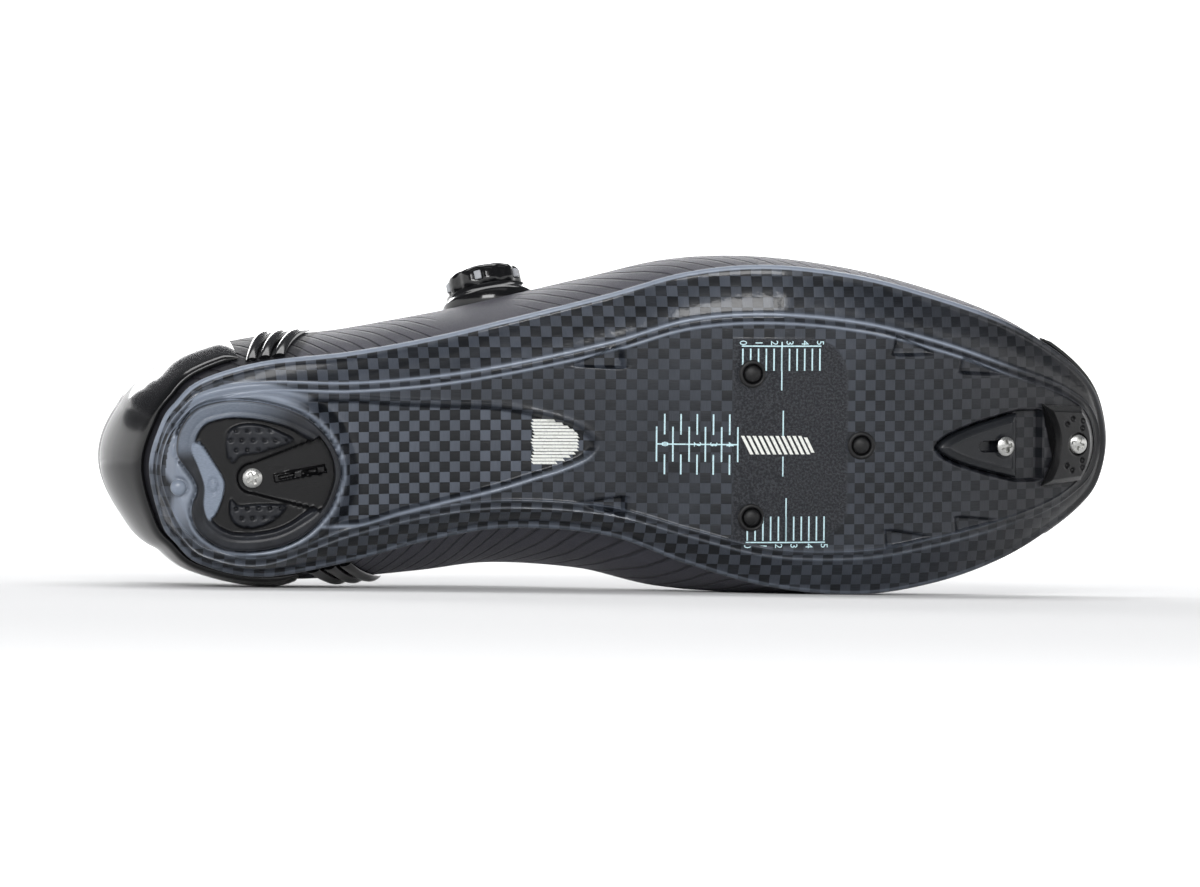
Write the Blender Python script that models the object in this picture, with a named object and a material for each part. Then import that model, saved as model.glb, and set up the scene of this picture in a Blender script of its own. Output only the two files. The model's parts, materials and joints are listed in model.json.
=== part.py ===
# Road cycling shoe for the right foot, lying on its inner side.
# The shoe is modelled upright: X runs from heel to toe, +Y is the inner side, +Z is up, and the plane of the
# cleat seat and the heel pad is z = 0. An empty then lays the whole shoe on its side.
import math
from collections import namedtuple

import bmesh
import bpy
import numpy as np
from mathutils import Matrix, Vector
from mathutils.geometry import intersect_ray_tri

MM = 0.001
UP = Vector((0, 0, 1))
DOWN = Vector((0, 0, -1))
GAP = 0.3 * MM                      # between pieces that touch
WALL_GAP = 0.45 * MM                # under a curved piece that lies on the upper

# Driving sizes, in metres
SOLE_LENGTH = 0.2765                # heel tip to toe tip of the plate
BALL_WIDTH = 0.0935                 # across the plate at the ball
ARCH_RISE = 0.012                   # plate's underside above the ground plane at the waist
TOE_SPRING = 0.021                  # plate's underside above the ground plane at the toe
BAND_RISE = 0.0072                  # side band, from the deck's edge up to the rim
BAND_BEND = 0.55                    # where the band bends, as a share of its slope
BAND_HOLLOW = 0.10                  # how far it bends in there, as a share of its height
DECK_STEP = 0.0013                  # step between the side band and the deck
DECK_STEP_WIDTH = 0.0023            # its slope, outside the deck's edge
DECK_STEP_SHARE = 0.45              # the most of the band that the slope takes
DECK_THICK = 0.005                  # plate, deck to footbed
RIM_THICK = 0.0022                  # edge of the plate under the upper
RIM_LEDGE = 0.0008                  # rim outside the upper
FOOTBED_LIP = 0.0005                # rim inside the upper
INSTEP_HEIGHT = 0.092               # top corner of the throat
UPPER_WALL = 0.002
INSOLE_THICK = 0.003
TONGUE_THICK = 0.0035
TONGUE_REACH = 0.021                # tongue above the throat's top corner
CUP_THICK = 0.0016                  # plastic heel cup
RIB_THICK = 0.0022                  # ribs at the ends of the heel cup
GUARD_THICK = 0.0011                # rubber toe guard
HEEL_PAD_RADIUS = 0.0213
HEEL_SOCKET_DEPTH = 0.0022
ARCH_RECESS_DEPTH = 0.0019
TOE_RECESS_DEPTH = 0.0026
HEEL_RING_WIDTH = 0.0021            # carbon lip round the heel pad
HEEL_RING_RISE = 0.0009
HEEL_RING_SLOPE = 0.0018            # its sloping side
PAD_EDGE = 0.0008                   # bevel of the pad's ring
PAD_RING = 0.0042                   # width of the ring that stands on the ground
PAD_WELL = 0.002                    # depth of the well inside it
PAD_WELL_SLOPE = 0.0006             # slope of the well's side
PAD_CHANNEL = 0.0046                # half width of the screw's channel
PAD_CHANNEL_DEPTH = 0.0014
PAD_SHANK = 0.0013
PAD_MOUTH = (2.9, 1.8)              # the channel's open end, ahead and to the side, in its half widths
HEEL_RING_OVAL = (1.05, 0.98)       # the ring's two radii, in HEEL_PAD_RADIUS
SCREW_REACH = 0.0042                # screw below the surface that it holds
CUT_DEPTH = 0.008                   # how far a cutter runs past what it cuts
SLIDER_PROUD = 0.0009
SLIDER_TRAVEL = 0.0045
VENT_LEFT = 0.0023                  # of the vent behind the slider at the end of its travel
SCOOP_TAPER = 0.3                   # width of a scoop's shallow end, as a share of its deep end
SCOOP_RUN_OUT = 0.0001              # its floor outside the deck there
BUMPER_HEIGHT = 0.0036
INSERT_RADIUS = 0.0036              # cleat insert, over its collar
INSERT_DEPTH = 0.0032
CLEAT_BASE = 0.0404                 # between the two rear cleat holes
CLEAT_FORWARD = 0.031               # front cleat hole ahead of them
SCREW_HEAD_RADIUS = 0.0027
SCREW_HEAD_HEIGHT = 0.0013
SCREW_SHANK_RADIUS = 0.00125
DIAL_RADIUS = 0.0108
DIAL_HEIGHT = 0.0062
DIAL_BASE_RADIUS = 0.0135
DIAL_BASE_HEIGHT = 0.0042
DIAL_BASE_ROOT = 0.004              # of the base below the wall's middle, before it is cut to the wall
DIAL_SIDES = 30
DIAL_GRIPS = 10
DIAL_GRIP_DEPTH = 0.07              # of the knob's radius
CORD_RADIUS = 0.0006
CORD_TURN = 1.35                    # where the cord turns, in half lengths of a guide from its middle
CORD_ENTRY_LIFT = 0.0026            # cord above the upper where it crosses the throat's edge
GUIDE_LENGTH = 0.008
GUIDE_WALL = 0.0008

PER_ROW = 3                         # mesh stations for each row of a table
UPPER_STEPS = 7                     # mesh rows from the rim to the collar
DECK_STEPS = 6                      # mesh columns across the deck

# One row for each section of the sole, from heel tip to toe tip. x and deck_x are shares of SOLE_LENGTH;
# outer, deck_outer, inner and deck_inner are distances from the long axis as shares of BALL_WIDTH, towards
# the outer or the inner side; arch, spring and band are shares of ARCH_RISE, TOE_SPRING and BAND_RISE.
Section = namedtuple("Section", "x deck_x outer deck_outer inner deck_inner arch spring band")
SOLE = [
    Section(0.000, 0.011, -0.075, -0.077, 0.075, 0.077, 0.60, 0.00, 0.70),
    Section(0.012, 0.017, 0.058, 0.013, 0.236, 0.160, 0.54, 0.00, 0.75),
    Section(0.026, 0.033, 0.120, 0.085, 0.298, 0.252, 0.46, 0.00, 0.82),
    Section(0.052, 0.058, 0.187, 0.135, 0.364, 0.312, 0.36, 0.00, 0.92),
    Section(0.114, 0.114, 0.241, 0.160, 0.403, 0.336, 0.29, 0.00, 1.00),
    Section(0.200, 0.200, 0.267, 0.154, 0.364, 0.256, 0.50, 0.00, 1.00),
    Section(0.286, 0.286, 0.308, 0.169, 0.305, 0.201, 0.86, 0.00, 1.00),
    Section(0.369, 0.369, 0.364, 0.205, 0.271, 0.180, 1.00, 0.00, 1.00),
    Section(0.468, 0.468, 0.439, 0.271, 0.293, 0.202, 0.76, 0.00, 0.92),
    Section(0.546, 0.546, 0.507, 0.340, 0.374, 0.264, 0.36, 0.00, 0.82),
    Section(0.628, 0.628, 0.530, 0.358, 0.441, 0.322, 0.03, 0.00, 0.72),
    Section(0.721, 0.721, 0.498, 0.332, 0.468, 0.330, 0.00, 0.00, 0.68),
    Section(0.806, 0.806, 0.432, 0.270, 0.437, 0.293, 0.00, 0.17, 0.64),
    Section(0.881, 0.881, 0.356, 0.196, 0.370, 0.242, 0.00, 0.43, 0.60),
    Section(0.936, 0.934, 0.270, 0.142, 0.286, 0.190, 0.00, 0.68, 0.56),
    Section(0.973, 0.965, 0.184, 0.094, 0.210, 0.134, 0.00, 0.87, 0.52),
    Section(0.992, 0.978, 0.098, 0.048, 0.138, 0.086, 0.00, 0.96, 0.50),
    Section(1.000, 0.983, -0.024, -0.021, 0.024, 0.021, 0.00, 1.00, 0.48),
]

# The upper's edge above each section of the sole, and how its wall gets there. x is a share of SOLE_LENGTH,
# outer and inner of BALL_WIDTH, high of INSTEP_HEIGHT. The wall leaves the rim swelling outwards (swell,
# share of BALL_WIDTH) and rising (rise, share of its own height), and comes to the edge from over (share of
# BALL_WIDTH beyond the rim), reach along the way back to it and drop below it.
Edge = namedtuple("Edge", "x outer inner high swell_outer swell_inner over_outer over_inner reach rise drop")
UPPER = [
    Edge(0.004, -0.064, 0.064, 0.980, 0.210, 0.210, 0.095, 0.095, 1.00, 0.36, 0.32),
    Edge(0.009, 0.020, 0.135, 0.978, 0.175, 0.150, 0.080, 0.050, 1.00, 0.36, 0.32),
    Edge(0.022, 0.096, 0.209, 0.962, 0.145, 0.090, 0.065, 0.035, 1.00, 0.36, 0.32),
    Edge(0.048, 0.168, 0.285, 0.910, 0.120, 0.060, 0.060, 0.045, 1.00, 0.37, 0.32),
    Edge(0.105, 0.236, 0.352, 0.785, 0.100, 0.050, 0.065, 0.075, 1.00, 0.38, 0.32),
    Edge(0.177, 0.274, 0.372, 0.715, 0.085, 0.090, 0.065, 0.130, 1.00, 0.38, 0.32),
    Edge(0.257, 0.285, 0.350, 0.795, 0.090, 0.150, 0.068, 0.180, 1.00, 0.38, 0.32),
    Edge(0.330, 0.225, 0.257, 1.000, 0.100, 0.210, 0.052, 0.190, 1.00, 0.38, 0.26),
    Edge(0.402, 0.184, 0.165, 0.950, 0.108, 0.230, 0.046, 0.180, 0.98, 0.40, 0.22),
    Edge(0.464, 0.166, 0.123, 0.852, 0.100, 0.200, 0.035, 0.150, 0.94, 0.42, 0.20),
    Edge(0.520, 0.150, 0.102, 0.765, 0.082, 0.118, 0.020, 0.085, 0.90, 0.46, 0.18),
    Edge(0.570, 0.134, 0.091, 0.692, 0.084, 0.052, 0.012, 0.030, 0.84, 0.50, 0.16),
    Edge(0.612, 0.116, 0.080, 0.640, 0.100, 0.042, 0.018, 0.008, 0.76, 0.55, 0.15),
    Edge(0.643, 0.091, 0.069, 0.608, 0.096, 0.042, 0.018, 0.000, 0.68, 0.60, 0.15),
    Edge(0.660, 0.067, 0.055, 0.592, 0.088, 0.044, 0.014, 0.000, 0.60, 0.62, 0.15),
    Edge(0.668, 0.045, 0.041, 0.584, 0.078, 0.048, 0.008, 0.000, 0.54, 0.64, 0.15),
    Edge(0.6716, 0.023, 0.021, 0.580, 0.066, 0.052, 0.004, 0.000, 0.50, 0.64, 0.15),
    Edge(0.673, 0.000, 0.000, 0.578, 0.058, 0.058, 0.000, 0.000, 0.48, 0.64, 0.15),
]
FOOTBED_INSET = RIM_LEDGE + UPPER_WALL + FOOTBED_LIP
TIP = len(SOLE) - 1                 # row of the toe tip; the loop goes on down the inner side to the heel
LOOP = 2 * TIP

# Outline of the heel pad round its centre, in shares of HEEL_PAD_RADIUS, with the notch round the rivet.
HEEL_PAD_CENTRE = Vector((0.1095 * SOLE_LENGTH, 0.090 * BALL_WIDTH, 0.0))
HEEL_PAD = [
    (1.03, -0.02), (0.96, -0.32), (0.77, -0.59), (0.50, -0.79), (0.10, -0.92), (-0.30, -0.97),
    (-0.60, -0.94), (-0.86, -0.84), (-1.04, -0.60), (-1.09, -0.30), (-0.99, -0.12), (-0.88, 0.04),
    (-0.83, 0.19), (-0.88, 0.34), (-0.90, 0.50), (-0.84, 0.68), (-0.70, 0.83), (-0.47, 0.95),
    (-0.15, 0.98), (0.25, 0.92), (0.58, 0.76), (0.84, 0.50), (0.97, 0.25),
]
PAD_SCREW = Vector((0.1009 * SOLE_LENGTH, 0.099 * BALL_WIDTH, 0.0))
CLEAT_CENTRE = Vector((0.6077 * SOLE_LENGTH, 0.011 * BALL_WIDTH, 0.0))
RIVET = Vector((0.0270 * SOLE_LENGTH, 0.125 * BALL_WIDTH, 0.0))
RIVET_RADIUS = 0.0022
RIVET_HEIGHT = 0.0021
RIVET_SUNK = 0.0006

# Rungs of the arch recess, from the heel pad's ring to its point: x as a share of SOLE_LENGTH at the two
# edges, y of the edges as shares of BALL_WIDTH, and bow, how far the middle of the rung lies ahead.
Rung = namedtuple("Rung", "x_outer x_inner outer inner bow")
ARCH_RECESS = [
    Rung(0.178, 0.190, 0.134, 0.236, 0.0125),
    Rung(0.255, 0.258, 0.120, 0.210, 0.0080),
    Rung(0.340, 0.337, 0.106, 0.158, 0.0050),
    Rung(0.395, 0.393, 0.082, 0.106, 0.0045),
    Rung(0.430, 0.430, 0.050, 0.076, 0.0040),
    Rung(0.449, 0.449, 0.008, 0.044, 0.0020),
]

# Air scoops in the edge of the deck: the deep end and the shallow end, as shares of SOLE_LENGTH and
# BALL_WIDTH, and the width there.
Scoop = namedtuple("Scoop", "deep_x deep_y shallow_x shallow_y width depth")
SCOOPS = [
    Scoop(0.477, -0.252, 0.425, -0.226, 0.0056, 0.0022),
    Scoop(0.480, 0.196, 0.430, 0.188, 0.0050, 0.0022),
    Scoop(0.757, -0.288, 0.800, -0.262, 0.0050, 0.0022),
    Scoop(0.830, -0.226, 0.876, -0.196, 0.0042, 0.0020),
    Scoop(0.750, 0.296, 0.798, 0.290, 0.0050, 0.0022),
    Scoop(0.826, 0.256, 0.874, 0.246, 0.0042, 0.0020),
]

# Stations of the pieces on the upper, as rows of the tables: below TIP on the outer side, above on the inner.
CUP_ENDS = (-4.46, 3.70)            # heel cup, round the heel from the inner to the outer side
CUP_TOP = 0.46                      # its height behind the heel, as a share of the wall
CUP_ARM = (0.05, 0.52)              # its arms, lower and upper edge at their ends
CUP_FOOT = 0.03                     # foot of the cup, guard and ribs above the rim, as a share of the wall
RIB_FOOT = 0.035
RIB_TOP = 0.52
RIB_LEAN = 0.9                      # rows forward over the wall's height
RIB_HALF_ROWS = 0.065
INSOLE_EDGE = 0.93
INSOLE_HEEL_ROW = 0.8
INSOLE_TOE_ROWS = 1.3               # short of the toe tip
TONGUE_TOP_ROW = 7.2
TONGUE_END_ROW = 16.6
TONGUE_OPEN = 0.55                  # share of the tongue's width that lies in the open throat
TONGUE_WING = 0.16                  # of the wall's height, under the throat's edge
TONGUE_CROWN = 0.06
RIB_ROWS = {"outer": (3.86, 4.04, 4.22), "inner": (-4.62, -4.80, -4.98)}
GUARD_ENDS = (13.75, 20.25)
GUARD_TOP = 0.20
DIAL_ROW = 7.18
DIAL_UP = 0.64
DIAL_SEAT_ROWS = 1.2                # patch of the wall under the dial, each way from it
DIAL_SEAT_UPS = (0.3, 0.24)
CORD_ENTRY_ROWS = 0.8               # where the cord crosses the throat's edge, past the dial's row
CORD_ENTRY_UP = 0.995
GUIDE_ROWS = (8.35, 9.35, 10.35, 11.35, 12.35)     # along the throat, inner and outer side in turn
GUIDE_UP = 0.955


def spline(values, at):
    """Value at a fractional place in a closed list: a smooth curve through all of it."""
    start = math.floor(at)
    t = at - start
    before, here, after, beyond = (values[(start + k) % len(values)] for k in (-1, 0, 1, 2))
    slope, next_slope = (after - before) * 0.5, (beyond - here) * 0.5
    return (here * (2 * t**3 - 3 * t**2 + 1) + slope * (t**3 - 2 * t**2 + t)
            + after * (3 * t**2 - 2 * t**3) + next_slope * (t**3 - t**2))


def round_loop(rows, value):
    """A closed list from the rows: down the outer side to the toe tip, then back up the inner side."""
    places = [(rows[k], -1) for k in range(TIP + 1)] + [(rows[k], 1) for k in range(TIP - 1, 0, -1)]
    return [value(row, side) for row, side in places]


def deck_height(row):
    return row.arch * ARCH_RISE + row.spring * TOE_SPRING


def rim_place(row, side):
    y = -row.outer if side < 0 else row.inner
    return Vector((row.x * SOLE_LENGTH, y * BALL_WIDTH, deck_height(row) + row.band * BAND_RISE))


def deck_place(row, side):
    y = -row.deck_outer if side < 0 else row.deck_inner
    return Vector((row.deck_x * SOLE_LENGTH, y * BALL_WIDTH, deck_height(row)))


def edge_place(row, side):
    y = -row.outer if side < 0 else row.inner
    return Vector((row.x * SOLE_LENGTH, y * BALL_WIDTH, row.high * INSTEP_HEIGHT))


RIM = round_loop(SOLE, rim_place)
DECK = round_loop(SOLE, deck_place)
EDGE = round_loop(UPPER, edge_place)
SWELL = round_loop(UPPER, lambda row, side: row.swell_outer if side < 0 else row.swell_inner)
OVER = round_loop(UPPER, lambda row, side: row.over_outer if side < 0 else row.over_inner)
REACH = round_loop(UPPER, lambda row, side: row.reach)
RISE = round_loop(UPPER, lambda row, side: row.rise)
DROP = round_loop(UPPER, lambda row, side: row.drop)


def outward(around):
    """Level direction out of the sole's outline."""
    ahead = spline(RIM, around + 0.05) - spline(RIM, around - 0.05)
    return Vector((ahead.y, -ahead.x, 0.0)).normalized()


def rim_point(around, inset=0.0, lift=0.0):
    place = spline(RIM, around) - outward(around) * inset
    place.z += lift
    return place


def deck_edge(around):
    """Edge of the deck. Its lowest stretch is the flat seat of the cleat, on the ground plane."""
    place = spline(DECK, around)
    place.z = max(place.z, 0.0)
    return place


def deck_point(station, across, lift=0.0):
    """Point of the deck: across runs from -1 at the outer edge to 1 at the inner edge."""
    outer, inner = deck_edge(station), deck_edge(LOOP - station)
    place = outer.lerp(inner, (across + 1) / 2)
    place.z += lift
    return place


def station_at(x):
    """Row of the table, with its fraction, where the deck reaches x."""
    low, high = 0.0, float(TIP)
    for _ in range(40):
        middle = (low + high) / 2
        low, high = (middle, high) if deck_edge(middle).x < x else (low, middle)
    return low


def deck_z(x):
    return deck_edge(station_at(x)).z


def footbed_point(station, across, lift=0.0):
    """Top of the plate: flat in the middle, rising to the rim in a dish of straight facets."""
    outer = rim_point(station, FOOTBED_INSET, RIM_THICK)
    inner = rim_point(LOOP - station, FOOTBED_INSET, RIM_THICK)
    place = outer.lerp(inner, (across + 1) / 2)
    floor = deck_edge(station).z + DECK_THICK
    columns = DECK_STEPS / 2
    facet = min(math.floor(abs(across) * columns), columns - 1)
    low, high = (facet / columns) ** 4, ((facet + 1) / columns) ** 4
    dish = low + (high - low) * (abs(across) * columns - facet)
    place.z = floor + max(place.z - floor, 0.0) * dish + lift
    return place


def wall_point(around, up):
    """Outer face of the upper, from the rim at up = 0 to the collar or throat at up = 1."""
    start = rim_point(around, RIM_LEDGE, RIM_THICK + GAP)
    end = spline(EDGE, around)
    out = outward(around)
    tall = end.z - start.z
    back = Vector((start.x - end.x, start.y - end.y, 0.0))
    first = start + out * spline(SWELL, around) * BALL_WIDTH
    first.z += spline(RISE, around) * tall
    second = end + back * spline(REACH, around) + out * spline(OVER, around) * BALL_WIDTH
    second.z -= spline(DROP, around) * tall
    rest = 1 - up
    return (start * rest**3 + first * 3 * rest**2 * up + second * 3 * rest * up**2 + end * up**3)


def wall_normal(around, up):
    low, high = max(up - 0.01, 0.0), min(up + 0.01, 1.0)
    along = wall_point(around + 0.04, up) - wall_point(around - 0.04, up)
    climb = wall_point(around, high) - wall_point(around, low)
    return along.cross(climb).normalized()


def upper_point(around, up, lift=0.0):
    """Point on the upper, lifted off its outer face."""
    return wall_point(around, up) + wall_normal(around, up) * lift


def steps(low, high, count):
    return [low + (high - low) * k / count for k in range(count + 1)]


def material(name, colour, roughness, metallic=0.0):
    made = bpy.data.materials.new(name)
    made.use_nodes = True
    shader = made.node_tree.nodes["Principled BSDF"]
    shader.inputs["Base Color"].default_value = (*colour, 1.0)
    shader.inputs["Roughness"].default_value = roughness
    shader.inputs["Metallic"].default_value = metallic
    return made


def node(name, bm, finish, smooth=40.0):
    """A named object from a bmesh, carried by the empty that lays the shoe down."""
    bmesh.ops.recalc_face_normals(bm, faces=bm.faces)
    mesh = bpy.data.meshes.new(name)
    bm.to_mesh(mesh)
    bm.free()
    mesh.materials.append(FINISHES[finish])
    mesh.shade_smooth()
    mesh.set_sharp_from_angle(angle=math.radians(smooth))
    made = bpy.data.objects.new(name, mesh)
    bpy.context.scene.collection.objects.link(made)
    made.parent = LAID
    return made


def cutter(name, bm):
    made = node(name, bm, "carbon")
    made.hide_render = True
    made.display_type = "WIRE"
    return made


def combine(target, other, operation):
    made = target.modifiers.new(f"{operation.lower()} {other.name}", "BOOLEAN")
    made.operation = operation
    made.object = other
    made.solver = "EXACT"


def stitched(bm, rows, wrap=False):
    """Quads between neighbouring rows of vertices; wrap joins the last row to the first."""
    pairs = list(zip(rows, rows[1:])) + ([(rows[-1], rows[0])] if wrap else [])
    for one, other in pairs:
        for k in range(len(one) - 1):
            bm.faces.new((one[k], one[k + 1], other[k + 1], other[k]))


def shell(point, arounds, ups, low, high, wrap=False):
    """Closed wall between two lifts of a surface. point(around, up, lift) gives the surface."""
    bm = bmesh.new()
    skins = [[[bm.verts.new(point(a, u, lift)) for u in ups] for a in arounds] for lift in (low, high)]
    for skin in skins:
        stitched(bm, skin, wrap)
    lower, upper = skins
    for edge in (0, -1):
        stitched(bm, [[a, b] for a, b in zip((r[edge] for r in lower), (r[edge] for r in upper))], wrap)
    if not wrap:
        for end in (0, -1):
            stitched(bm, [lower[end], upper[end]])
    return bm


def prism(bottom, top):
    """Closed solid between two outlines of the same number of points."""
    bm = bmesh.new()
    loops = [[bm.verts.new(p) for p in outline] for outline in (bottom, top)]
    for k in range(len(bottom)):
        after = (k + 1) % len(bottom)
        bm.faces.new((loops[0][k], loops[0][after], loops[1][after], loops[1][k]))
    bm.faces.new(loops[0])
    bm.faces.new(loops[1])
    return bm


def turned(profile, segments=20):
    """Solid of revolution about Z from (radius, height) points that start and end on the axis."""
    bm = bmesh.new()
    verts = [bm.verts.new((r, 0.0, z)) for r, z in profile]
    edges = [bm.edges.new(pair) for pair in zip(verts, verts[1:])]
    bmesh.ops.spin(bm, geom=verts + edges, axis=(0, 0, 1), cent=(0, 0, 0), angle=math.tau,
                   steps=segments, use_merge=True)
    bmesh.ops.remove_doubles(bm, verts=bm.verts, dist=1e-6)
    return bm


def placed(bm, origin, up, ahead=Vector((1, 0, 0))):
    """Moves a bmesh from its own frame to a place: its Z along up, its X as near ahead as it can be."""
    side = up.cross(ahead).normalized()
    front = side.cross(up).normalized()
    turn = Matrix((front, side, up.normalized())).transposed().to_4x4()
    bmesh.ops.transform(bm, matrix=Matrix.Translation(origin) @ turn, verts=bm.verts)
    return bm


def closed_outline(points, samples):
    return [spline(points, k * len(points) / samples) for k in range(samples)]


def sole_body():
    """Carbon plate: dished footbed, rim, side band, step and deck."""
    bm = bmesh.new()
    arounds = steps(0, LOOP, LOOP * PER_ROW)[:-1]

    def ring(place):
        return [bm.verts.new(place(a)) for a in arounds]

    def band_foot(a):
        edge, rim = deck_edge(a), rim_point(a)
        out = Vector((rim.x - edge.x, rim.y - edge.y, 0.0))
        foot = edge + out.normalized() * min(DECK_STEP_WIDTH, DECK_STEP_SHARE * out.length)
        foot.z = edge.z + DECK_STEP
        return foot

    def band_middle(a):
        middle = band_foot(a).lerp(rim_point(a), BAND_BEND)
        middle.z -= BAND_HOLLOW * (rim_point(a).z - deck_edge(a).z)
        return middle

    rings = [
        ring(lambda a: rim_point(a, FOOTBED_INSET, RIM_THICK)),
        ring(lambda a: rim_point(a, 0.0, RIM_THICK)),
        ring(lambda a: rim_point(a)),
        ring(band_middle),
        ring(band_foot),
        ring(deck_edge),
    ]
    for one, other in zip(rings, rings[1:]):
        stitched(bm, [[a, b] for a, b in zip(one, other)], wrap=True)
    fill_across(bm, rings[0], footbed_point)
    fill_across(bm, rings[-1], deck_point)
    return bm


def fill_across(bm, ring, point):
    """Closes a ring that goes once round the shoe with rows of faces from its outer to its inner side."""
    half = len(ring) // 2
    columns = steps(-1, 1, DECK_STEPS)[1:-1]
    rows = []
    for k in range(1, half):
        middle = [bm.verts.new(point(k / PER_ROW, c)) for c in columns]
        rows.append([ring[k], *middle, ring[-k]])
    stitched(bm, rows)
    for tip, row in ((ring[0], rows[0]), (ring[half], rows[-1])):
        for one, other in zip(row, row[1:]):
            bm.faces.new((tip, one, other))


PAD_DECK_Z = deck_z(HEEL_PAD_CENTRE.x)


def pad_outline(grow, z):
    """Outline of the heel pad, moved out by grow and read at height z."""
    points = [HEEL_PAD_CENTRE + Vector((x, y, 0)) * HEEL_PAD_RADIUS for x, y in HEEL_PAD]
    curve = closed_outline(points, 2 * len(points))
    moved = []
    for k, place in enumerate(curve):
        along = curve[(k + 1) % len(curve)] - curve[k - 1]
        out = Vector((-along.y, along.x, 0)).normalized()
        if out.dot(place - HEEL_PAD_CENTRE) < 0:
            out = -out
        moved.append(Vector((place.x + out.x * grow, place.y + out.y * grow, z)))
    return moved


def recess_point(along, across, lift):
    """Point in the arch recess, following the deck. along runs over the rungs."""
    k = min(int(along), len(ARCH_RECESS) - 2)
    t = along - k
    one, other = ARCH_RECESS[k], ARCH_RECESS[k + 1]
    mix = [a + (b - a) * t for a, b in zip(one, other)]
    rung = Rung(*mix)
    share = (across + 1) / 2
    x = (rung.x_outer + (rung.x_inner - rung.x_outer) * share) * SOLE_LENGTH + rung.bow * (1 - across**2)
    y = (-rung.outer + (rung.outer + rung.inner) * share) * BALL_WIDTH
    return Vector((x, y, deck_z(x) + lift))


def arch_recess():
    alongs = steps(0, len(ARCH_RECESS) - 1, 10)
    return shell(recess_point, alongs, steps(-1, 1, 4), -CUT_DEPTH, ARCH_RECESS_DEPTH)


def scoop(row):
    """Wedge that cuts one air scoop: deep at one end, running out at the other."""
    deep = Vector((row.deep_x * SOLE_LENGTH, row.deep_y * BALL_WIDTH, 0))
    shallow = Vector((row.shallow_x * SOLE_LENGTH, row.shallow_y * BALL_WIDTH, 0))
    ahead = (shallow - deep).normalized()
    side = Vector((-ahead.y, ahead.x, 0)) * row.width / 2
    deep_z, shallow_z = deck_z(deep.x), deck_z(shallow.x)
    corners = [deep - side, deep + side, shallow + side * SCOOP_TAPER, shallow - side * SCOOP_TAPER]
    floor = [deep_z - CUT_DEPTH] * 2 + [shallow_z - CUT_DEPTH] * 2
    roof = [deep_z + row.depth] * 2 + [shallow_z - SCOOP_RUN_OUT] * 2
    return prism([Vector((p.x, p.y, z)) for p, z in zip(corners, floor)],
                 [Vector((p.x, p.y, z)) for p, z in zip(corners, roof)])


# The vent slider lies in a pocket with a flat sloping floor, so its frame is a plane at the toe.
SLIDER_TIP_X = 0.8041 * SOLE_LENGTH
SLIDER_END_X = 0.8915 * SOLE_LENGTH
POCKET_END_X = SLIDER_END_X + SLIDER_TRAVEL + VENT_LEFT
SLIDER_Y = 0.022 * BALL_WIDTH
SLIDER_HALF_WIDTH = 0.0092
SLIDER_BEVEL = 0.0011
SLOT_BACK = 0.0128                  # ends of the slot, back from the slider's flat end
SLOT_FRONT = 0.0030
TOE_START = Vector((SLIDER_TIP_X, SLIDER_Y, deck_z(SLIDER_TIP_X)))
TOE_AHEAD = (Vector((POCKET_END_X, SLIDER_Y, deck_z(POCKET_END_X))) - TOE_START).normalized()
TOE_UP = Vector((-TOE_AHEAD.z, 0, TOE_AHEAD.x))
SLIDER_LENGTH = (SLIDER_END_X - SLIDER_TIP_X) / TOE_AHEAD.x
POCKET_LENGTH = (POCKET_END_X - SLIDER_TIP_X) / TOE_AHEAD.x


ARROW = (0.0, 0.02, 0.07, 0.16, 0.3, 0.48, 0.7, 1.0)


def arrow_outline(length, half_width, z, clear=0.0, beyond=0.0):
    """Arrowhead with a round point at x = 0 and a flat end, in the slider's own frame."""
    side = [(length * s - 2 * clear * (1 - s), half_width * s**0.58 + clear * s**0.3) for s in ARROW]
    if beyond:
        side.append((length + beyond, side[-1][1]))
    points = [(x, -y) for x, y in reversed(side)] + side[1:]
    return [Vector((x, y, z)) for x, y in points]


def toe_pocket():
    """Pocket for the slider, longer than it by the slider's travel and the vent behind it."""
    beyond = POCKET_LENGTH - SLIDER_LENGTH
    bm = prism(arrow_outline(SLIDER_LENGTH, SLIDER_HALF_WIDTH, -CUT_DEPTH, GAP, beyond),
               arrow_outline(SLIDER_LENGTH, SLIDER_HALF_WIDTH, TOE_RECESS_DEPTH, GAP, beyond))
    return placed(bm, TOE_START, TOE_UP, TOE_AHEAD)


def vent_slider():
    low = -SLIDER_PROUD
    high = TOE_RECESS_DEPTH - GAP
    bm = prism(arrow_outline(SLIDER_LENGTH, SLIDER_HALF_WIDTH, low + SLIDER_BEVEL),
               arrow_outline(SLIDER_LENGTH, SLIDER_HALF_WIDTH, high))
    bottom = min(bm.faces, key=lambda f: sum(v.co.z for v in f.verts) / len(f.verts))
    bmesh.ops.inset_region(bm, faces=[bottom], thickness=SLIDER_BEVEL, depth=0.0)
    for vert in bottom.verts:
        vert.co.z = low
    made = node("vent_slider", placed(bm, TOE_START, TOE_UP, TOE_AHEAD), "pad")
    wide = SCREW_SHANK_RADIUS + GAP
    slot = prism(slot_outline(wide, -CUT_DEPTH), slot_outline(wide, CUT_DEPTH))
    combine(made, cutter("slider_slot", placed(slot, TOE_START, TOE_UP, TOE_AHEAD)), "DIFFERENCE")
    return made


def slot_outline(radius, z):
    """Slot with round ends along the slider, for the screw's shank."""
    front, back = SLIDER_LENGTH - SLOT_FRONT - radius, SLIDER_LENGTH - SLOT_BACK + radius
    quarter = [math.pi / 2 * k / 3 for k in range(-3, 4)]
    points = [(front + radius * math.cos(a), radius * math.sin(a)) for a in quarter]
    points += [(back - radius * math.cos(a), -radius * math.sin(a)) for a in quarter]
    return [Vector((x, y, z)) for x, y in points]


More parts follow.
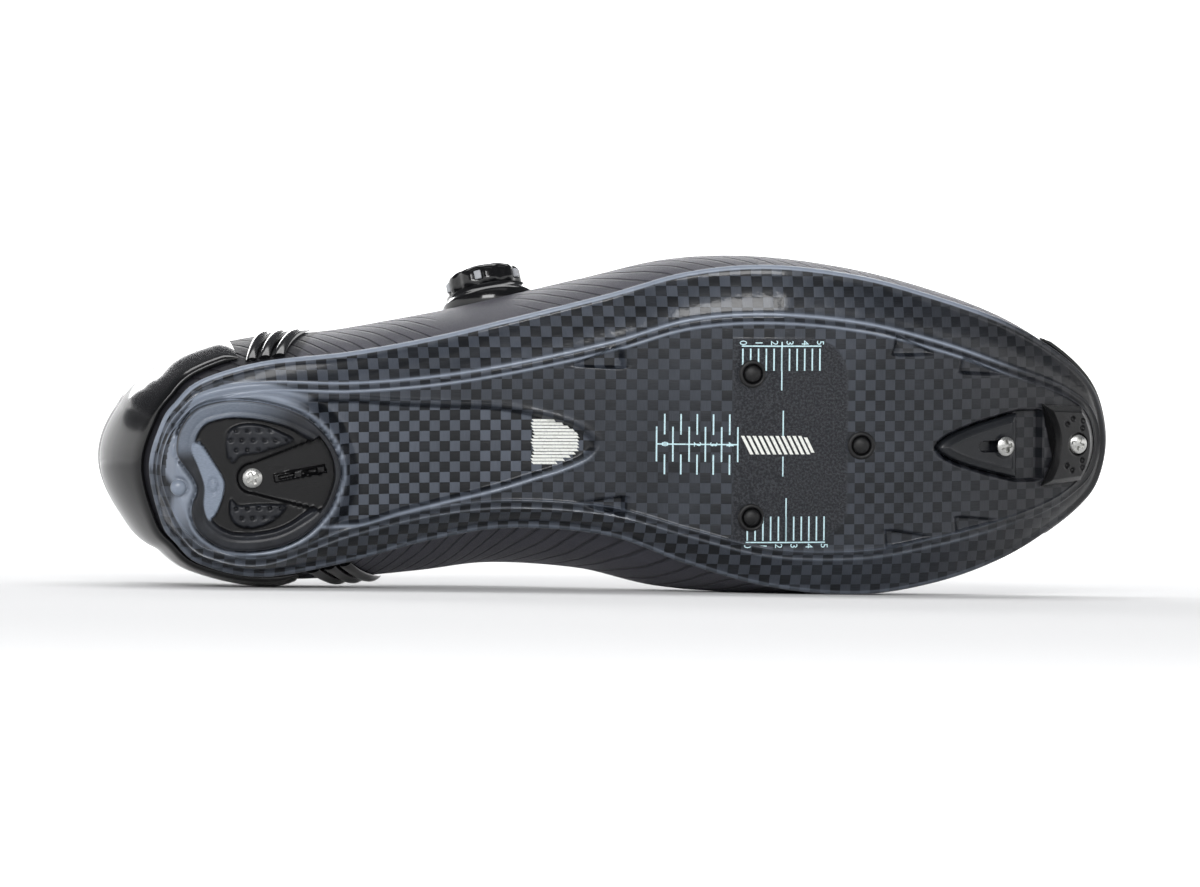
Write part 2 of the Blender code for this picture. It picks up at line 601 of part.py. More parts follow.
def slider_screw_place():
    """Where the screw stands in the slot at rest: at the slot's front end."""
    along = SLIDER_LENGTH - SLOT_FRONT - SCREW_SHANK_RADIUS - GAP
    return TOE_START + TOE_AHEAD * along


def screw(name, seat, down, shank):
    """Pan-head screw: the head's flat lies on seat and the head stands off along down."""
    bore = SCREW_SHANK_RADIUS
    head, tall = SCREW_HEAD_RADIUS, SCREW_HEAD_HEIGHT
    profile = [(0, -shank), (bore, -shank), (bore, 0), (head, 0), (head, tall * 0.45),
               (head * 0.8, tall * 0.9), (0, tall)]
    return node(name, placed(turned(profile, 14), seat, down), "steel")


BUMPER_START_X = 0.9190 * SOLE_LENGTH
BUMPER_END_X = 0.9800 * SOLE_LENGTH
BUMPER_HALF_WIDTH = 0.0118
BUMPER_BOW = 0.0042                 # of its two curved ends
BUMPER_WELL = 0.0014                # for the screw's head


def bumper_point(along, across, lift):
    """Toe bumper under the deck: concave towards the vent, round towards the toe, with low edges."""
    back = BUMPER_START_X + BUMPER_BOW * (1 - across**2)
    front = BUMPER_END_X - BUMPER_BOW * across**2
    x = back + (front - back) * along
    y = SLIDER_Y + across * BUMPER_HALF_WIDTH * (1.0 - 0.10 * along)
    full = min(1.0, 0.35 + 4.0 * (1 - abs(across)), 0.35 + 5.0 * along, 0.35 + 5.0 * (1 - along))
    return Vector((x, y, deck_z(x) - GAP - lift * full))


def bumper_screw_seat():
    middle = bumper_point(0.55, 0.0, BUMPER_HEIGHT)
    return Vector((middle.x, middle.y, middle.z + BUMPER_WELL))


def toe_bumper():
    block = shell(bumper_point, steps(0, 1, 4), steps(-1, 1, 6), 0.0, BUMPER_HEIGHT)
    made = node("toe_bumper", block, "pad")
    wide = SCREW_HEAD_RADIUS + GAP
    bore = SCREW_SHANK_RADIUS + GAP
    well = turned([(0, -CUT_DEPTH), (bore, -CUT_DEPTH), (bore, 0), (wide, 0), (wide, CUT_DEPTH),
                   (0, CUT_DEPTH)], 16)
    combine(made, cutter("bumper_well", placed(well, bumper_screw_seat(), DOWN)), "DIFFERENCE")
    return made


def upper_body():
    return shell(upper_point, steps(0, LOOP, LOOP * PER_ROW)[:-1], steps(0, 1, UPPER_STEPS),
                 -UPPER_WALL, 0.0, wrap=True)


def insole_body():
    """Insole on the footbed, from heel to toe inside the upper."""
    side = steps(0, 1, DECK_STEPS // 2)[:-1] + [INSOLE_EDGE]
    columns = [-c for c in reversed(side[1:])] + side
    stations = steps(INSOLE_HEEL_ROW, TIP - INSOLE_TOE_ROWS, 19)
    return shell(footbed_point, stations, columns, 2.5 * GAP, 2.5 * GAP + INSOLE_THICK)


def tongue_point(station, across, lift):
    """Tongue under the throat: wings under the upper's edges and a low arch between them."""
    at = max(station, TONGUE_TOP_ROW)
    above = at - station
    across *= 1 - 0.45 * min(1.0, 3 * above)
    deep = lift - UPPER_WALL - 2 * WALL_GAP
    wing = max(abs(across) - TONGUE_OPEN, 0.0) / (1 - TONGUE_OPEN)
    around = at if across < 0 else LOOP - at
    if wing > 0:
        place = upper_point(around, 1 - TONGUE_WING * wing, deep)
    else:
        outer, inner = upper_point(at, 1.0, deep), upper_point(LOOP - at, 1.0, deep)
        share = (across / TONGUE_OPEN + 1) / 2
        place = outer.lerp(inner, share)
        place.z += TONGUE_CROWN * (inner.y - outer.y) * 4 * share * (1 - share)
    place += Vector((-0.85 + 0.3 * above, 0, 0.45 + 0.35 * above)) * above * TONGUE_REACH
    place.y *= 1 - 0.62 * above + 0.36 * above**2
    return place


def tongue_body():
    side = [TONGUE_OPEN * 0.5, TONGUE_OPEN, 0.6 + 0.4 * TONGUE_OPEN, 1.0]
    columns = [-c for c in reversed(side)] + [0.0] + side
    stations = steps(TONGUE_TOP_ROW - 1, TONGUE_TOP_ROW, 3) + steps(TONGUE_TOP_ROW, TONGUE_END_ROW, 10)[1:]
    return shell(tongue_point, stations, columns, -TONGUE_THICK, 0.0)


def cup_point(around, share, lift):
    """Heel cup on the upper: low behind the heel, its arms rising and leaving the rim at their ends."""
    end = CUP_ENDS[0] if around < 0 else CUP_ENDS[1]
    along = abs(around / end)
    low = CUP_FOOT + CUP_ARM[0] * along**3
    high = CUP_TOP + (CUP_ARM[1] - CUP_TOP) * along**2
    return upper_point(around, low + (high - low) * share, WALL_GAP + lift)


def heel_cup():
    outer = [k / PER_ROW for k in range(int(CUP_ENDS[1] * PER_ROW) + 1)] + [CUP_ENDS[1]]
    inner = [-k / PER_ROW for k in range(int(-CUP_ENDS[0] * PER_ROW), 0, -1)]
    return shell(cup_point, [CUP_ENDS[0]] + inner + outer, steps(0, 1, 4), 0.0, CUP_THICK)


def rib(row):
    """One rib across the wall at the end of the heel cup, high in the middle of its width."""
    def point(up, across, lift):
        ridge = math.cos(across * math.pi / 2)
        lean = RIB_LEAN * (up - RIB_FOOT)
        high = lift * (0.3 + 0.7 * ridge)
        return upper_point(row + (lean if row > 0 else -lean) + across * RIB_HALF_ROWS, up, WALL_GAP + high)
    return shell(point, steps(RIB_FOOT, RIB_TOP, 4), steps(-1, 1, 4), 0.0, RIB_THICK)


def toe_guard():
    """Rubber edge round the toe, lower towards its ends."""
    middle = (GUARD_ENDS[0] + GUARD_ENDS[1]) / 2
    half = (GUARD_ENDS[1] - GUARD_ENDS[0]) / 2

    def point(around, share, lift):
        top = GUARD_TOP * (1 - 0.6 * abs((around - middle) / half) ** 3)
        return upper_point(around, CUP_FOOT + (top - CUP_FOOT) * share, WALL_GAP + lift)
    return shell(point, steps(*GUARD_ENDS, 15), steps(0, 1, 2), 0.0, GUARD_THICK)


def on_wall(around, up, lift=0.0):
    """Place on the upper, with the wall's normal and the direction along it, for what is fitted there."""
    place = upper_point(around, up, lift)
    along = wall_point(around + 0.04, up) - wall_point(around - 0.04, up)
    return place, wall_normal(around, up), along.normalized()


def dial_seat():
    """Outer face of the upper where the dial sits, as the top of a thick patch that cuts what sits on it."""
    arounds = steps(DIAL_ROW - DIAL_SEAT_ROWS, DIAL_ROW + DIAL_SEAT_ROWS, 10)
    ups = steps(DIAL_UP - DIAL_SEAT_UPS[0], DIAL_UP + DIAL_SEAT_UPS[1], 6)
    return shell(upper_point, arounds, ups, -CUT_DEPTH, GAP)


def dial():
    """Fixed base cut to the wall, and the knob that turns on it."""
    place, out, along = on_wall(DIAL_ROW, DIAL_UP)
    r, tall = DIAL_BASE_RADIUS, DIAL_BASE_HEIGHT
    root = -DIAL_BASE_ROOT
    base = turned([(0, root), (r, root), (r, tall * 0.4), (r * 0.88, tall), (0, tall)], 20)
    made = node("dial_base", placed(base, place, out, along), "gloss")
    combine(made, cutter("dial_seat", dial_seat()), "DIFFERENCE")
    foot, r, tall = tall + GAP, DIAL_RADIUS, DIAL_HEIGHT
    knob = turned([(0, foot), (r * 0.9, foot), (r, foot + tall * 0.2), (r, foot + tall * 0.72),
                   (r * 0.86, foot + tall * 0.94), (0, foot + tall)], DIAL_SIDES)
    for vert in knob.verts:
        radial = Vector((vert.co.x, vert.co.y, 0))
        if radial.length > r * 0.95:
            side = round(math.atan2(vert.co.y, vert.co.x) / math.tau * DIAL_SIDES)
            vert.co -= radial * DIAL_GRIP_DEPTH * (side % (DIAL_SIDES // DIAL_GRIPS) == 0)
    node("dial_knob", placed(knob, place, out, along), "gloss", 30.0)


def guide_side(k):
    """Station of a cord guide: the first on the inner side of the throat, then in turn."""
    return LOOP - GUIDE_ROWS[k] if k % 2 == 0 else GUIDE_ROWS[k]


def cord_guide(k):
    """Low arched block on the throat's edge with a tunnel for the cord along it."""
    place, out, along = on_wall(guide_side(k), GUIDE_UP, 1.5 * GAP)
    tall = 2 * (GUIDE_WALL + CORD_RADIUS + GAP)
    wide = tall * 0.9
    profile = [(-wide, 0), (wide, 0), (wide, tall * 0.25), (tall * 0.45, tall * 0.85), (0, tall),
               (-tall * 0.45, tall * 0.85), (-wide, tall * 0.25)]
    half = GUIDE_LENGTH / 2
    block = prism(*([Vector((x, y, z)) for y, z in profile] for x in (-half, half)))
    made = node(f"cord_guide_{k + 1}", placed(block, place, out, along), "matte")
    bore = CORD_RADIUS + GAP
    turns = [math.tau * t / 8 for t in range(8)]
    tunnel = [(bore * math.cos(turn), tall / 2 + bore * math.sin(turn)) for turn in turns]
    drill = prism(*([Vector((x, y, z)) for y, z in tunnel] for x in (-2 * half, 2 * half)))
    combine(made, cutter(f"cord_tunnel_{k + 1}", placed(drill, place, out, along)), "DIFFERENCE")


def cord_route():
    """Places that the closure cord passes, from the dial through each guide to its end in the last one."""
    place, out, _ = on_wall(DIAL_ROW, DIAL_UP)
    edge = on_wall(DIAL_ROW + CORD_ENTRY_ROWS, CORD_ENTRY_UP, CORD_ENTRY_LIFT)[0]
    level = edge - place
    across = (level - out * level.dot(out)).normalized()
    route = [place + out * 0.5 * DIAL_BASE_HEIGHT + across * (DIAL_BASE_RADIUS + CORD_RADIUS), edge]
    lift = 1.5 * GAP + GUIDE_WALL + CORD_RADIUS + GAP
    for k in range(len(GUIDE_ROWS)):
        centre, _, along = on_wall(guide_side(k), GUIDE_UP, lift)
        half = along * GUIDE_LENGTH * 0.5
        if k % 2 == 0:
            half = -half
        route.append(centre - half * CORD_TURN)
        route.append(centre + half * (CORD_TURN if k < len(GUIDE_ROWS) - 1 else 0.5))
    return route


def rounded(route, radius):
    """The route with a short curve in place of each corner."""
    points = [route[0]]
    for before, corner, after in zip(route, route[1:], route[2:]):
        start = corner + (before - corner).normalized() * radius
        end = corner + (after - corner).normalized() * radius
        points += [start, (start + corner * 2 + end) / 4, end]
    return points + [route[-1]]


def closure_cord():
    points = rounded(cord_route(), 1.5 * CORD_RADIUS)
    curve = bpy.data.curves.new("closure_cord", "CURVE")
    curve.dimensions = "3D"
    curve.bevel_depth = CORD_RADIUS
    curve.bevel_resolution = 1
    curve.use_fill_caps = True
    line = curve.splines.new("POLY")
    line.points.add(len(points) - 1)
    for target, place in zip(line.points, points):
        target.co = (*place, 1.0)
    curve.materials.append(FINISHES["cord"])
    made = bpy.data.objects.new("closure_cord", curve)
    bpy.context.scene.collection.objects.link(made)
    made.parent = LAID


def lofted(outlines):
    """Closed solid through a stack of outlines, capped at both ends."""
    bm = bmesh.new()
    loops = [[bm.verts.new(p) for p in outline] for outline in outlines]
    for one, other in zip(loops, loops[1:]):
        for k in range(len(one)):
            after = (k + 1) % len(one)
            bm.faces.new((one[k], one[after], other[after], other[k]))
    bm.faces.new(loops[0])
    bm.faces.new(loops[-1])
    return bm


def heel_ring():
    """Flat raised boss of carbon under the heel; the pad's socket then leaves its edge as a lip."""
    def oval(grow, z):
        long, wide = (HEEL_PAD_RADIUS * share + grow for share in HEEL_RING_OVAL)
        turns = (math.tau * k / 36 for k in range(36))
        return [Vector((HEEL_PAD_CENTRE.x + long * math.cos(a), HEEL_PAD_CENTRE.y + wide * math.sin(a), z))
                for a in turns]
    return prism(oval(HEEL_RING_WIDTH + HEEL_RING_SLOPE, PAD_DECK_Z + HEEL_RING_SLOPE),
                 oval(HEEL_RING_WIDTH, PAD_DECK_Z - HEEL_RING_RISE))


def heel_pad():
    """Replaceable pad: a flat ring on the ground plane round a sunk well, a lip and the screw's channel."""
    top = PAD_DECK_Z + HEEL_SOCKET_DEPTH - GAP
    made = node("heel_pad", lofted([
        pad_outline(0.0, top), pad_outline(0.0, PAD_EDGE), pad_outline(-PAD_EDGE, 0.0),
        pad_outline(-PAD_RING, 0.0), pad_outline(-PAD_RING - PAD_WELL_SLOPE, PAD_WELL)]), "pad")
    x, y = PAD_SCREW.x, PAD_SCREW.y
    round_end = [(x - PAD_CHANNEL * math.cos(a), y - PAD_CHANNEL * math.sin(a))
                 for a in (math.pi * (k / 8 - 0.5) for k in range(9))]
    far, wide = (PAD_CHANNEL * share for share in PAD_MOUTH)
    mouth = [(x + far, y - wide), (x + far, y + wide)]
    outline = round_end + mouth
    floor = PAD_WELL + PAD_CHANNEL_DEPTH
    channel = prism([Vector((px, py, 0.5 * PAD_WELL)) for px, py in outline],
                    [Vector((px, py, floor)) for px, py in outline])
    combine(made, cutter("pad_channel", channel), "DIFFERENCE")
    bore = SCREW_SHANK_RADIUS + GAP
    hole = turned([(0, -PAD_SHANK - GAP), (bore, -PAD_SHANK - GAP), (bore, MM), (0, MM)], 12)
    combine(made, cutter("pad_bore", placed(hole, Vector((x, y, floor)), DOWN)), "DIFFERENCE")
    screw("heel_pad_screw", Vector((x, y, floor - GAP)), DOWN, PAD_SHANK)
    return made


def rivet_seat():
    return Vector((RIVET.x, RIVET.y, PAD_DECK_Z - HEEL_RING_RISE + RIVET_SUNK))


def heel_rivet():
    """Domed rivet in its spot face, in the notch of the pad."""
    r = RIVET_RADIUS
    tall = RIVET_HEIGHT
    dome = turned([(0, 0), (r, 0), (r, tall * 0.38), (r * 0.85, tall * 0.71), (r * 0.5, tall * 0.93),
                   (0, tall)], 16)
    node("heel_rivet", placed(dome, rivet_seat() + DOWN * GAP, DOWN), "pad")


def cleat_places():
    """The three cleat holes on the deck: outer and inner at the back, then the front one."""
    x, y = CLEAT_CENTRE.x, CLEAT_CENTRE.y
    return [Vector((x, y - CLEAT_BASE / 2, 0)), Vector((x, y + CLEAT_BASE / 2, 0)),
            Vector((x + CLEAT_FORWARD, y, 0))]


def cleat_insert(k, place, plate):
    """Threaded insert: a collar flush with the deck round a sunk plug with a low dome."""
    seat = Vector((place.x, place.y, deck_z(place.x)))
    r, deep = INSERT_RADIUS, INSERT_DEPTH
    profile = [(0, -deep), (r, -deep), (r, 0.2 * MM), (r * 0.8, 0.5 * MM), (r * 0.68, 0.1 * MM),
               (r * 0.66, -0.5 * MM), (r * 0.3, 0.1 * MM), (0, 0.2 * MM)]
    node(f"cleat_insert_{k + 1}", placed(turned(profile, 12), seat, DOWN), "matte")
    hole = turned([(0, -deep - GAP), (r + GAP, -deep - GAP), (r + GAP, CUT_DEPTH), (0, CUT_DEPTH)], 12)
    combine(plate, cutter(f"insert_hole_{k + 1}", placed(hole, seat, DOWN)), "DIFFERENCE")


def sole_plate():
    plate = node("sole_plate", sole_body(), "carbon", 30.0)
    combine(plate, cutter("heel_ring_form", heel_ring()), "UNION")
    wide = RIVET_RADIUS + GAP
    spot = turned([(0, 0), (wide, 0), (wide, CUT_DEPTH), (0, CUT_DEPTH)], 16)
    combine(plate, cutter("rivet_spot", placed(spot, rivet_seat(), DOWN)), "DIFFERENCE")
    socket = prism(pad_outline(GAP, -CUT_DEPTH), pad_outline(GAP, PAD_DECK_Z + HEEL_SOCKET_DEPTH))
    combine(plate, cutter("heel_socket", socket), "DIFFERENCE")
    combine(plate, cutter("arch_recess_form", arch_recess()), "DIFFERENCE")
    for k, row in enumerate(SCOOPS):
        combine(plate, cutter(f"air_scoop_{k + 1}", scoop(row)), "DIFFERENCE")
    combine(plate, cutter("toe_pocket_form", toe_pocket()), "DIFFERENCE")
    bore = SCREW_SHANK_RADIUS + GAP
    bores = (("slider_bore", slider_screw_place(), TOE_UP), ("bumper_bore", bumper_screw_seat(), UP))
    for name, seat, up in bores:
        hole = turned([(0, -MM), (bore, -MM), (bore, SCREW_REACH + GAP), (0, SCREW_REACH + GAP)], 12)
        combine(plate, cutter(name, placed(hole, seat, up)), "DIFFERENCE")
    return plate


def lay_down():
    """Turns the carrying empty so that the shoe rests on its inner side, on three points of its hull."""
    hull = bmesh.new()
    centre, total = Vector(), 0.0
    for made in LAID.children:
        if made.type != "MESH" or made.hide_render:
            continue
        bm = bmesh.new()
        bm.from_mesh(made.data)
        volume = bm.calc_volume()
        middle = sum((v.co for v in bm.verts), Vector()) / len(bm.verts)
        centre += middle * volume
        total += volume
        for vert in bm.verts:
            hull.verts.new(vert.co)
        bm.free()
    centre /= total
    bmesh.ops.convex_hull(hull, input=hull.verts)
    bmesh.ops.triangulate(hull, faces=hull.faces)
    down = Vector((0, 1, 0))
    for _ in range(20):
        for face in hull.faces:
            if face.normal.dot(down) > 0.5 and intersect_ray_tri(*(v.co for v in face.verts), down, centre):
                down = face.normal.copy()
                break
    ahead = (Vector((1, 0, 0)) - down * down.x).normalized()
    up = -down
    turn = Matrix((ahead, up.cross(ahead), up))
    points = [turn @ v.co for v in hull.verts]
    hull.free()
    low = Vector([min(p[k] for p in points) for k in range(3)])
    high = Vector([max(p[k] for p in points) for k in range(3)])
    shift = Vector((-(low.x + high.x) / 2, -(low.y + high.y) / 2, -low.z))
    LAID.matrix_world = Matrix.Translation(shift) @ turn.to_4x4()


for leftover in list(bpy.data.objects):
    bpy.data.objects.remove(leftover)
FINISHES = {
    "carbon": material("carbon weave", (0.035, 0.042, 0.055), 0.32),
    "microfibre": material("grey microfibre", (0.075, 0.075, 0.088), 0.7),
    "gloss": material("gloss black plastic", (0.012, 0.012, 0.014), 0.16),
    "matte": material("matte black plastic", (0.02, 0.02, 0.022), 0.5),
    "pad": material("satin grey urethane", (0.03, 0.034, 0.042), 0.35),
    "rubber": material("black rubber", (0.018, 0.018, 0.02), 0.6),
    "steel": material("bright steel", (0.62, 0.62, 0.6), 0.28, 1.0),
    "lining": material("dark lining mesh", (0.03, 0.03, 0.034), 0.9),
    "cord": material("coated cord", (0.05, 0.05, 0.055), 0.4),
}
LAID = bpy.data.objects.new("laid_on_inner_side", None)
bpy.context.scene.collection.objects.link(LAID)

PLATE = sole_plate()
node("upper", upper_body(), "microfibre")
node("tongue", tongue_body(), "lining")
node("insole", insole_body(), "lining")
node("heel_cup", heel_cup(), "gloss")
for side_name, rib_rows in RIB_ROWS.items():
    for number, rib_row in enumerate(rib_rows):
        node(f"heel_rib_{side_name}_{number + 1}", rib(rib_row), "gloss")
node("toe_guard", toe_guard(), "rubber")
heel_pad()
heel_rivet()
vent_slider()
screw("vent_slider_screw", slider_screw_place() - TOE_UP * (SLIDER_PROUD + GAP), -TOE_UP,
      SLIDER_PROUD + GAP + SCREW_REACH)
toe_bumper()
screw("toe_bumper_screw", bumper_screw_seat() + DOWN * GAP, DOWN, GAP + SCREW_REACH)
for number, insert_place in enumerate(cleat_places()):
    cleat_insert(number, insert_place, PLATE)
dial()
for number in range(len(GUIDE_ROWS)):
    cord_guide(number)
closure_cord()
lay_down()
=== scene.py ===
# A road cycling shoe for the right foot, lying on its inner side and seen from under the sole.
import json
import math
from collections import namedtuple
from functools import lru_cache

import bmesh
import bpy
import numpy as np
from mathutils import Matrix, Quaternion, Vector


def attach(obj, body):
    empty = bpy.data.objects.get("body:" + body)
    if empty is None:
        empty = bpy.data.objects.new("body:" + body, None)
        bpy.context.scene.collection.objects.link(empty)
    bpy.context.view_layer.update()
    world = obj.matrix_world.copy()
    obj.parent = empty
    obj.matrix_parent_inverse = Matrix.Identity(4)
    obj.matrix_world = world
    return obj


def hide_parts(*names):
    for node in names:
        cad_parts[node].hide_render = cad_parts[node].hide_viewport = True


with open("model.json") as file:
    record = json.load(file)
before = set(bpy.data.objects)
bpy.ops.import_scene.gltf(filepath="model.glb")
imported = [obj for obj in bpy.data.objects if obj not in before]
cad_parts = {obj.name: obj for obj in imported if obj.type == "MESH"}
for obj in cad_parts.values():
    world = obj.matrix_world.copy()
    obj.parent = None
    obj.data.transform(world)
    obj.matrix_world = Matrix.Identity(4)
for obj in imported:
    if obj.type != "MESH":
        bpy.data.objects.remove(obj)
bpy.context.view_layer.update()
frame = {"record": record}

mm = 0.001
gap = 0.3 * mm

# The shoe's own frame: X from heel to toe, Y to the inner side, Z up, cleat seat on z = 0.
# Two mounts of the record tell how the shoe lies.
mounts = {mount["name"]: mount for mount in frame["record"]["mounts"]}
seatInShoe, padInShoe = Vector((186, 5, 0)) * mm, Vector((50, 8.7, 0)) * mm
seatPlace, padPlace = (Vector(mounts[name]["pos_m"]) for name in ("cleat_seat", "heel_pad_face"))
shoeUp = -Vector(mounts["cleat_seat"]["axis"]).normalized()
lean = math.atan2((seatInShoe - padInShoe).y, (seatInShoe - padInShoe).x)
shoeAhead = (Quaternion(shoeUp, -lean) @ (seatPlace - padPlace)).normalized()
shoeInner = shoeUp.cross(shoeAhead)
lay = Matrix((shoeAhead, shoeInner, shoeUp)).transposed().to_4x4()
lay.translation = seatPlace - lay.to_3x3() @ seatInShoe
up, down = Vector((0, 0, 1)), Vector((0, 0, -1))

# Camera: the photograph's angle to the shoe, in the shoe's frame
view = {"azimuth": -9, "elevation": 4, "roll": 0.333, "distance": 1.4, "focalPixels": 4825.5,
        "middle": (602.0, 427.1), "frame": (1200, 887), "aim": Vector((133.8, -0.7, 54.5)) * mm}


def placeCamera():
    turn, rise, roll = (math.radians(view[key]) for key in ("azimuth", "elevation", "roll"))
    away = Vector((math.sin(turn) * math.cos(rise), -math.sin(rise), -math.cos(turn) * math.cos(rise)))
    ahead = (lay.to_3x3() @ -away).normalized()
    level = ahead.cross(lay.to_3x3() @ Vector((0, -1, 0))).normalized()
    rise = level.cross(ahead)
    side = level * math.cos(roll) + rise * math.sin(roll)
    top = rise * math.cos(roll) - level * math.sin(roll)
    camera = bpy.data.objects.new("camera", bpy.data.cameras.new("camera"))
    bpy.context.scene.collection.objects.link(camera)
    pose = Matrix((side, top, -ahead)).transposed().to_4x4()
    pose.translation = lay @ (view["aim"] + away * view["distance"])
    camera.matrix_world = pose
    wide, high = view["frame"]
    camera.data.sensor_fit = "HORIZONTAL"
    camera.data.sensor_width = 36
    camera.data.lens = 36 * view["focalPixels"] / wide
    camera.data.shift_x = (wide / 2 - view["middle"][0]) / wide
    camera.data.shift_y = (view["middle"][1] - high / 2) / wide
    camera.data.clip_start = 0.01
    bpy.context.scene.camera = camera


placeCamera()
print("camera placed")

# Sizes of the sole and the upper, and their sections from heel tip to toe tip
sole = {"length": 276.5 * mm, "ballWidth": 93.5 * mm, "archRise": 12 * mm, "toeSpring": 21 * mm,
        "bandRise": 7.2 * mm, "bandHollow": 0.10, "stepRise": 1.3 * mm,
        "stepWidth": 2.3 * mm, "stepShare": 0.45, "rimThick": 2.2 * mm, "rimLedge": 0.8 * mm,
        "thick": 5 * mm, "lip": 0.5 * mm}
upper = {"instep": 92 * mm, "wall": 2 * mm}
soleRow = namedtuple("soleRow", "x deckX outer deckOuter inner deckInner arch spring band")
soleRows = [soleRow(*row) for row in (
    (0.000, 0.011, -0.075, -0.077, 0.075, 0.077, 0.60, 0.00, 0.70),
    (0.012, 0.017, 0.058, 0.013, 0.236, 0.160, 0.54, 0.00, 0.75),
    (0.026, 0.033, 0.120, 0.085, 0.298, 0.252, 0.46, 0.00, 0.82),
    (0.052, 0.058, 0.187, 0.135, 0.364, 0.312, 0.36, 0.00, 0.92),
    (0.114, 0.114, 0.241, 0.160, 0.403, 0.336, 0.29, 0.00, 1.00),
    (0.200, 0.200, 0.267, 0.154, 0.364, 0.256, 0.50, 0.00, 1.00),
    (0.286, 0.286, 0.308, 0.169, 0.305, 0.201, 0.86, 0.00, 1.00),
    (0.369, 0.369, 0.364, 0.205, 0.271, 0.180, 1.00, 0.00, 1.00),
    (0.468, 0.468, 0.439, 0.271, 0.293, 0.202, 0.76, 0.00, 0.92),
    (0.546, 0.546, 0.507, 0.340, 0.374, 0.264, 0.36, 0.00, 0.82),
    (0.628, 0.628, 0.530, 0.358, 0.441, 0.322, 0.03, 0.00, 0.72),
    (0.721, 0.721, 0.498, 0.332, 0.468, 0.330, 0.00, 0.00, 0.68),
    (0.806, 0.806, 0.432, 0.270, 0.437, 0.293, 0.00, 0.17, 0.64),
    (0.881, 0.881, 0.356, 0.196, 0.370, 0.242, 0.00, 0.43, 0.60),
    (0.936, 0.934, 0.270, 0.142, 0.286, 0.190, 0.00, 0.68, 0.56),
    (0.973, 0.965, 0.184, 0.094, 0.210, 0.134, 0.00, 0.87, 0.52),
    (0.992, 0.978, 0.098, 0.048, 0.138, 0.086, 0.00, 0.96, 0.50),
    (1.000, 0.983, -0.024, -0.021, 0.024, 0.021, 0.00, 1.00, 0.48))]
edgeRow = namedtuple("edgeRow", "x outer inner high swellOuter swellInner overOuter overInner "
                     "reach rise drop")
edgeRows = [edgeRow(*row) for row in (
    (0.004, -0.064, 0.064, 0.980, 0.210, 0.210, 0.095, 0.095, 1.00, 0.36, 0.32),
    (0.009, 0.020, 0.135, 0.978, 0.175, 0.150, 0.080, 0.050, 1.00, 0.36, 0.32),
    (0.022, 0.096, 0.209, 0.962, 0.145, 0.090, 0.065, 0.035, 1.00, 0.36, 0.32),
    (0.048, 0.168, 0.285, 0.910, 0.120, 0.060, 0.060, 0.045, 1.00, 0.37, 0.32),
    (0.105, 0.236, 0.352, 0.785, 0.100, 0.050, 0.065, 0.075, 1.00, 0.38, 0.32),
    (0.177, 0.274, 0.372, 0.715, 0.085, 0.090, 0.065, 0.130, 1.00, 0.38, 0.32),
    (0.257, 0.285, 0.350, 0.795, 0.090, 0.150, 0.068, 0.180, 1.00, 0.38, 0.32),
    (0.330, 0.225, 0.257, 1.000, 0.100, 0.210, 0.052, 0.190, 1.00, 0.38, 0.26),
    (0.402, 0.184, 0.165, 0.950, 0.108, 0.230, 0.046, 0.180, 0.98, 0.40, 0.22),
    (0.464, 0.166, 0.123, 0.852, 0.100, 0.200, 0.035, 0.150, 0.94, 0.42, 0.20),
    (0.520, 0.150, 0.102, 0.765, 0.082, 0.118, 0.020, 0.085, 0.90, 0.46, 0.18),
    (0.570, 0.134, 0.091, 0.692, 0.084, 0.052, 0.012, 0.030, 0.84, 0.50, 0.16),
    (0.612, 0.116, 0.080, 0.640, 0.100, 0.042, 0.018, 0.008, 0.76, 0.55, 0.15),
    (0.643, 0.091, 0.069, 0.608, 0.096, 0.042, 0.018, 0.000, 0.68, 0.60, 0.15),
    (0.660, 0.067, 0.055, 0.592, 0.088, 0.044, 0.014, 0.000, 0.60, 0.62, 0.15),
    (0.668, 0.045, 0.041, 0.584, 0.078, 0.048, 0.008, 0.000, 0.54, 0.64, 0.15),
    (0.6716, 0.023, 0.021, 0.580, 0.066, 0.052, 0.004, 0.000, 0.50, 0.64, 0.15),
    (0.673, 0.000, 0.000, 0.578, 0.058, 0.058, 0.000, 0.000, 0.48, 0.64, 0.15))]
tip = len(soleRows) - 1  # row of the toe tip; the loop goes on down the inner side to the heel
loop = 2 * tip
length, width = sole["length"], sole["ballWidth"]


def spline(values, at):
    start = math.floor(at)
    t = at - start
    before, here, after, beyond = (values[(start + k) % len(values)] for k in (-1, 0, 1, 2))
    slope, nextSlope = (after - before) * 0.5, (beyond - here) * 0.5
    return (here * (2 * t**3 - 3 * t**2 + 1) + slope * (t**3 - 2 * t**2 + t)
            + after * (3 * t**2 - 2 * t**3) + nextSlope * (t**3 - t**2))


def roundLoop(rows, value):
    places = [(rows[k], -1) for k in range(tip + 1)] + [(rows[k], 1) for k in range(tip - 1, 0, -1)]
    return [value(row, side) for row, side in places]


def deckHeight(row):
    return row.arch * sole["archRise"] + row.spring * sole["toeSpring"]


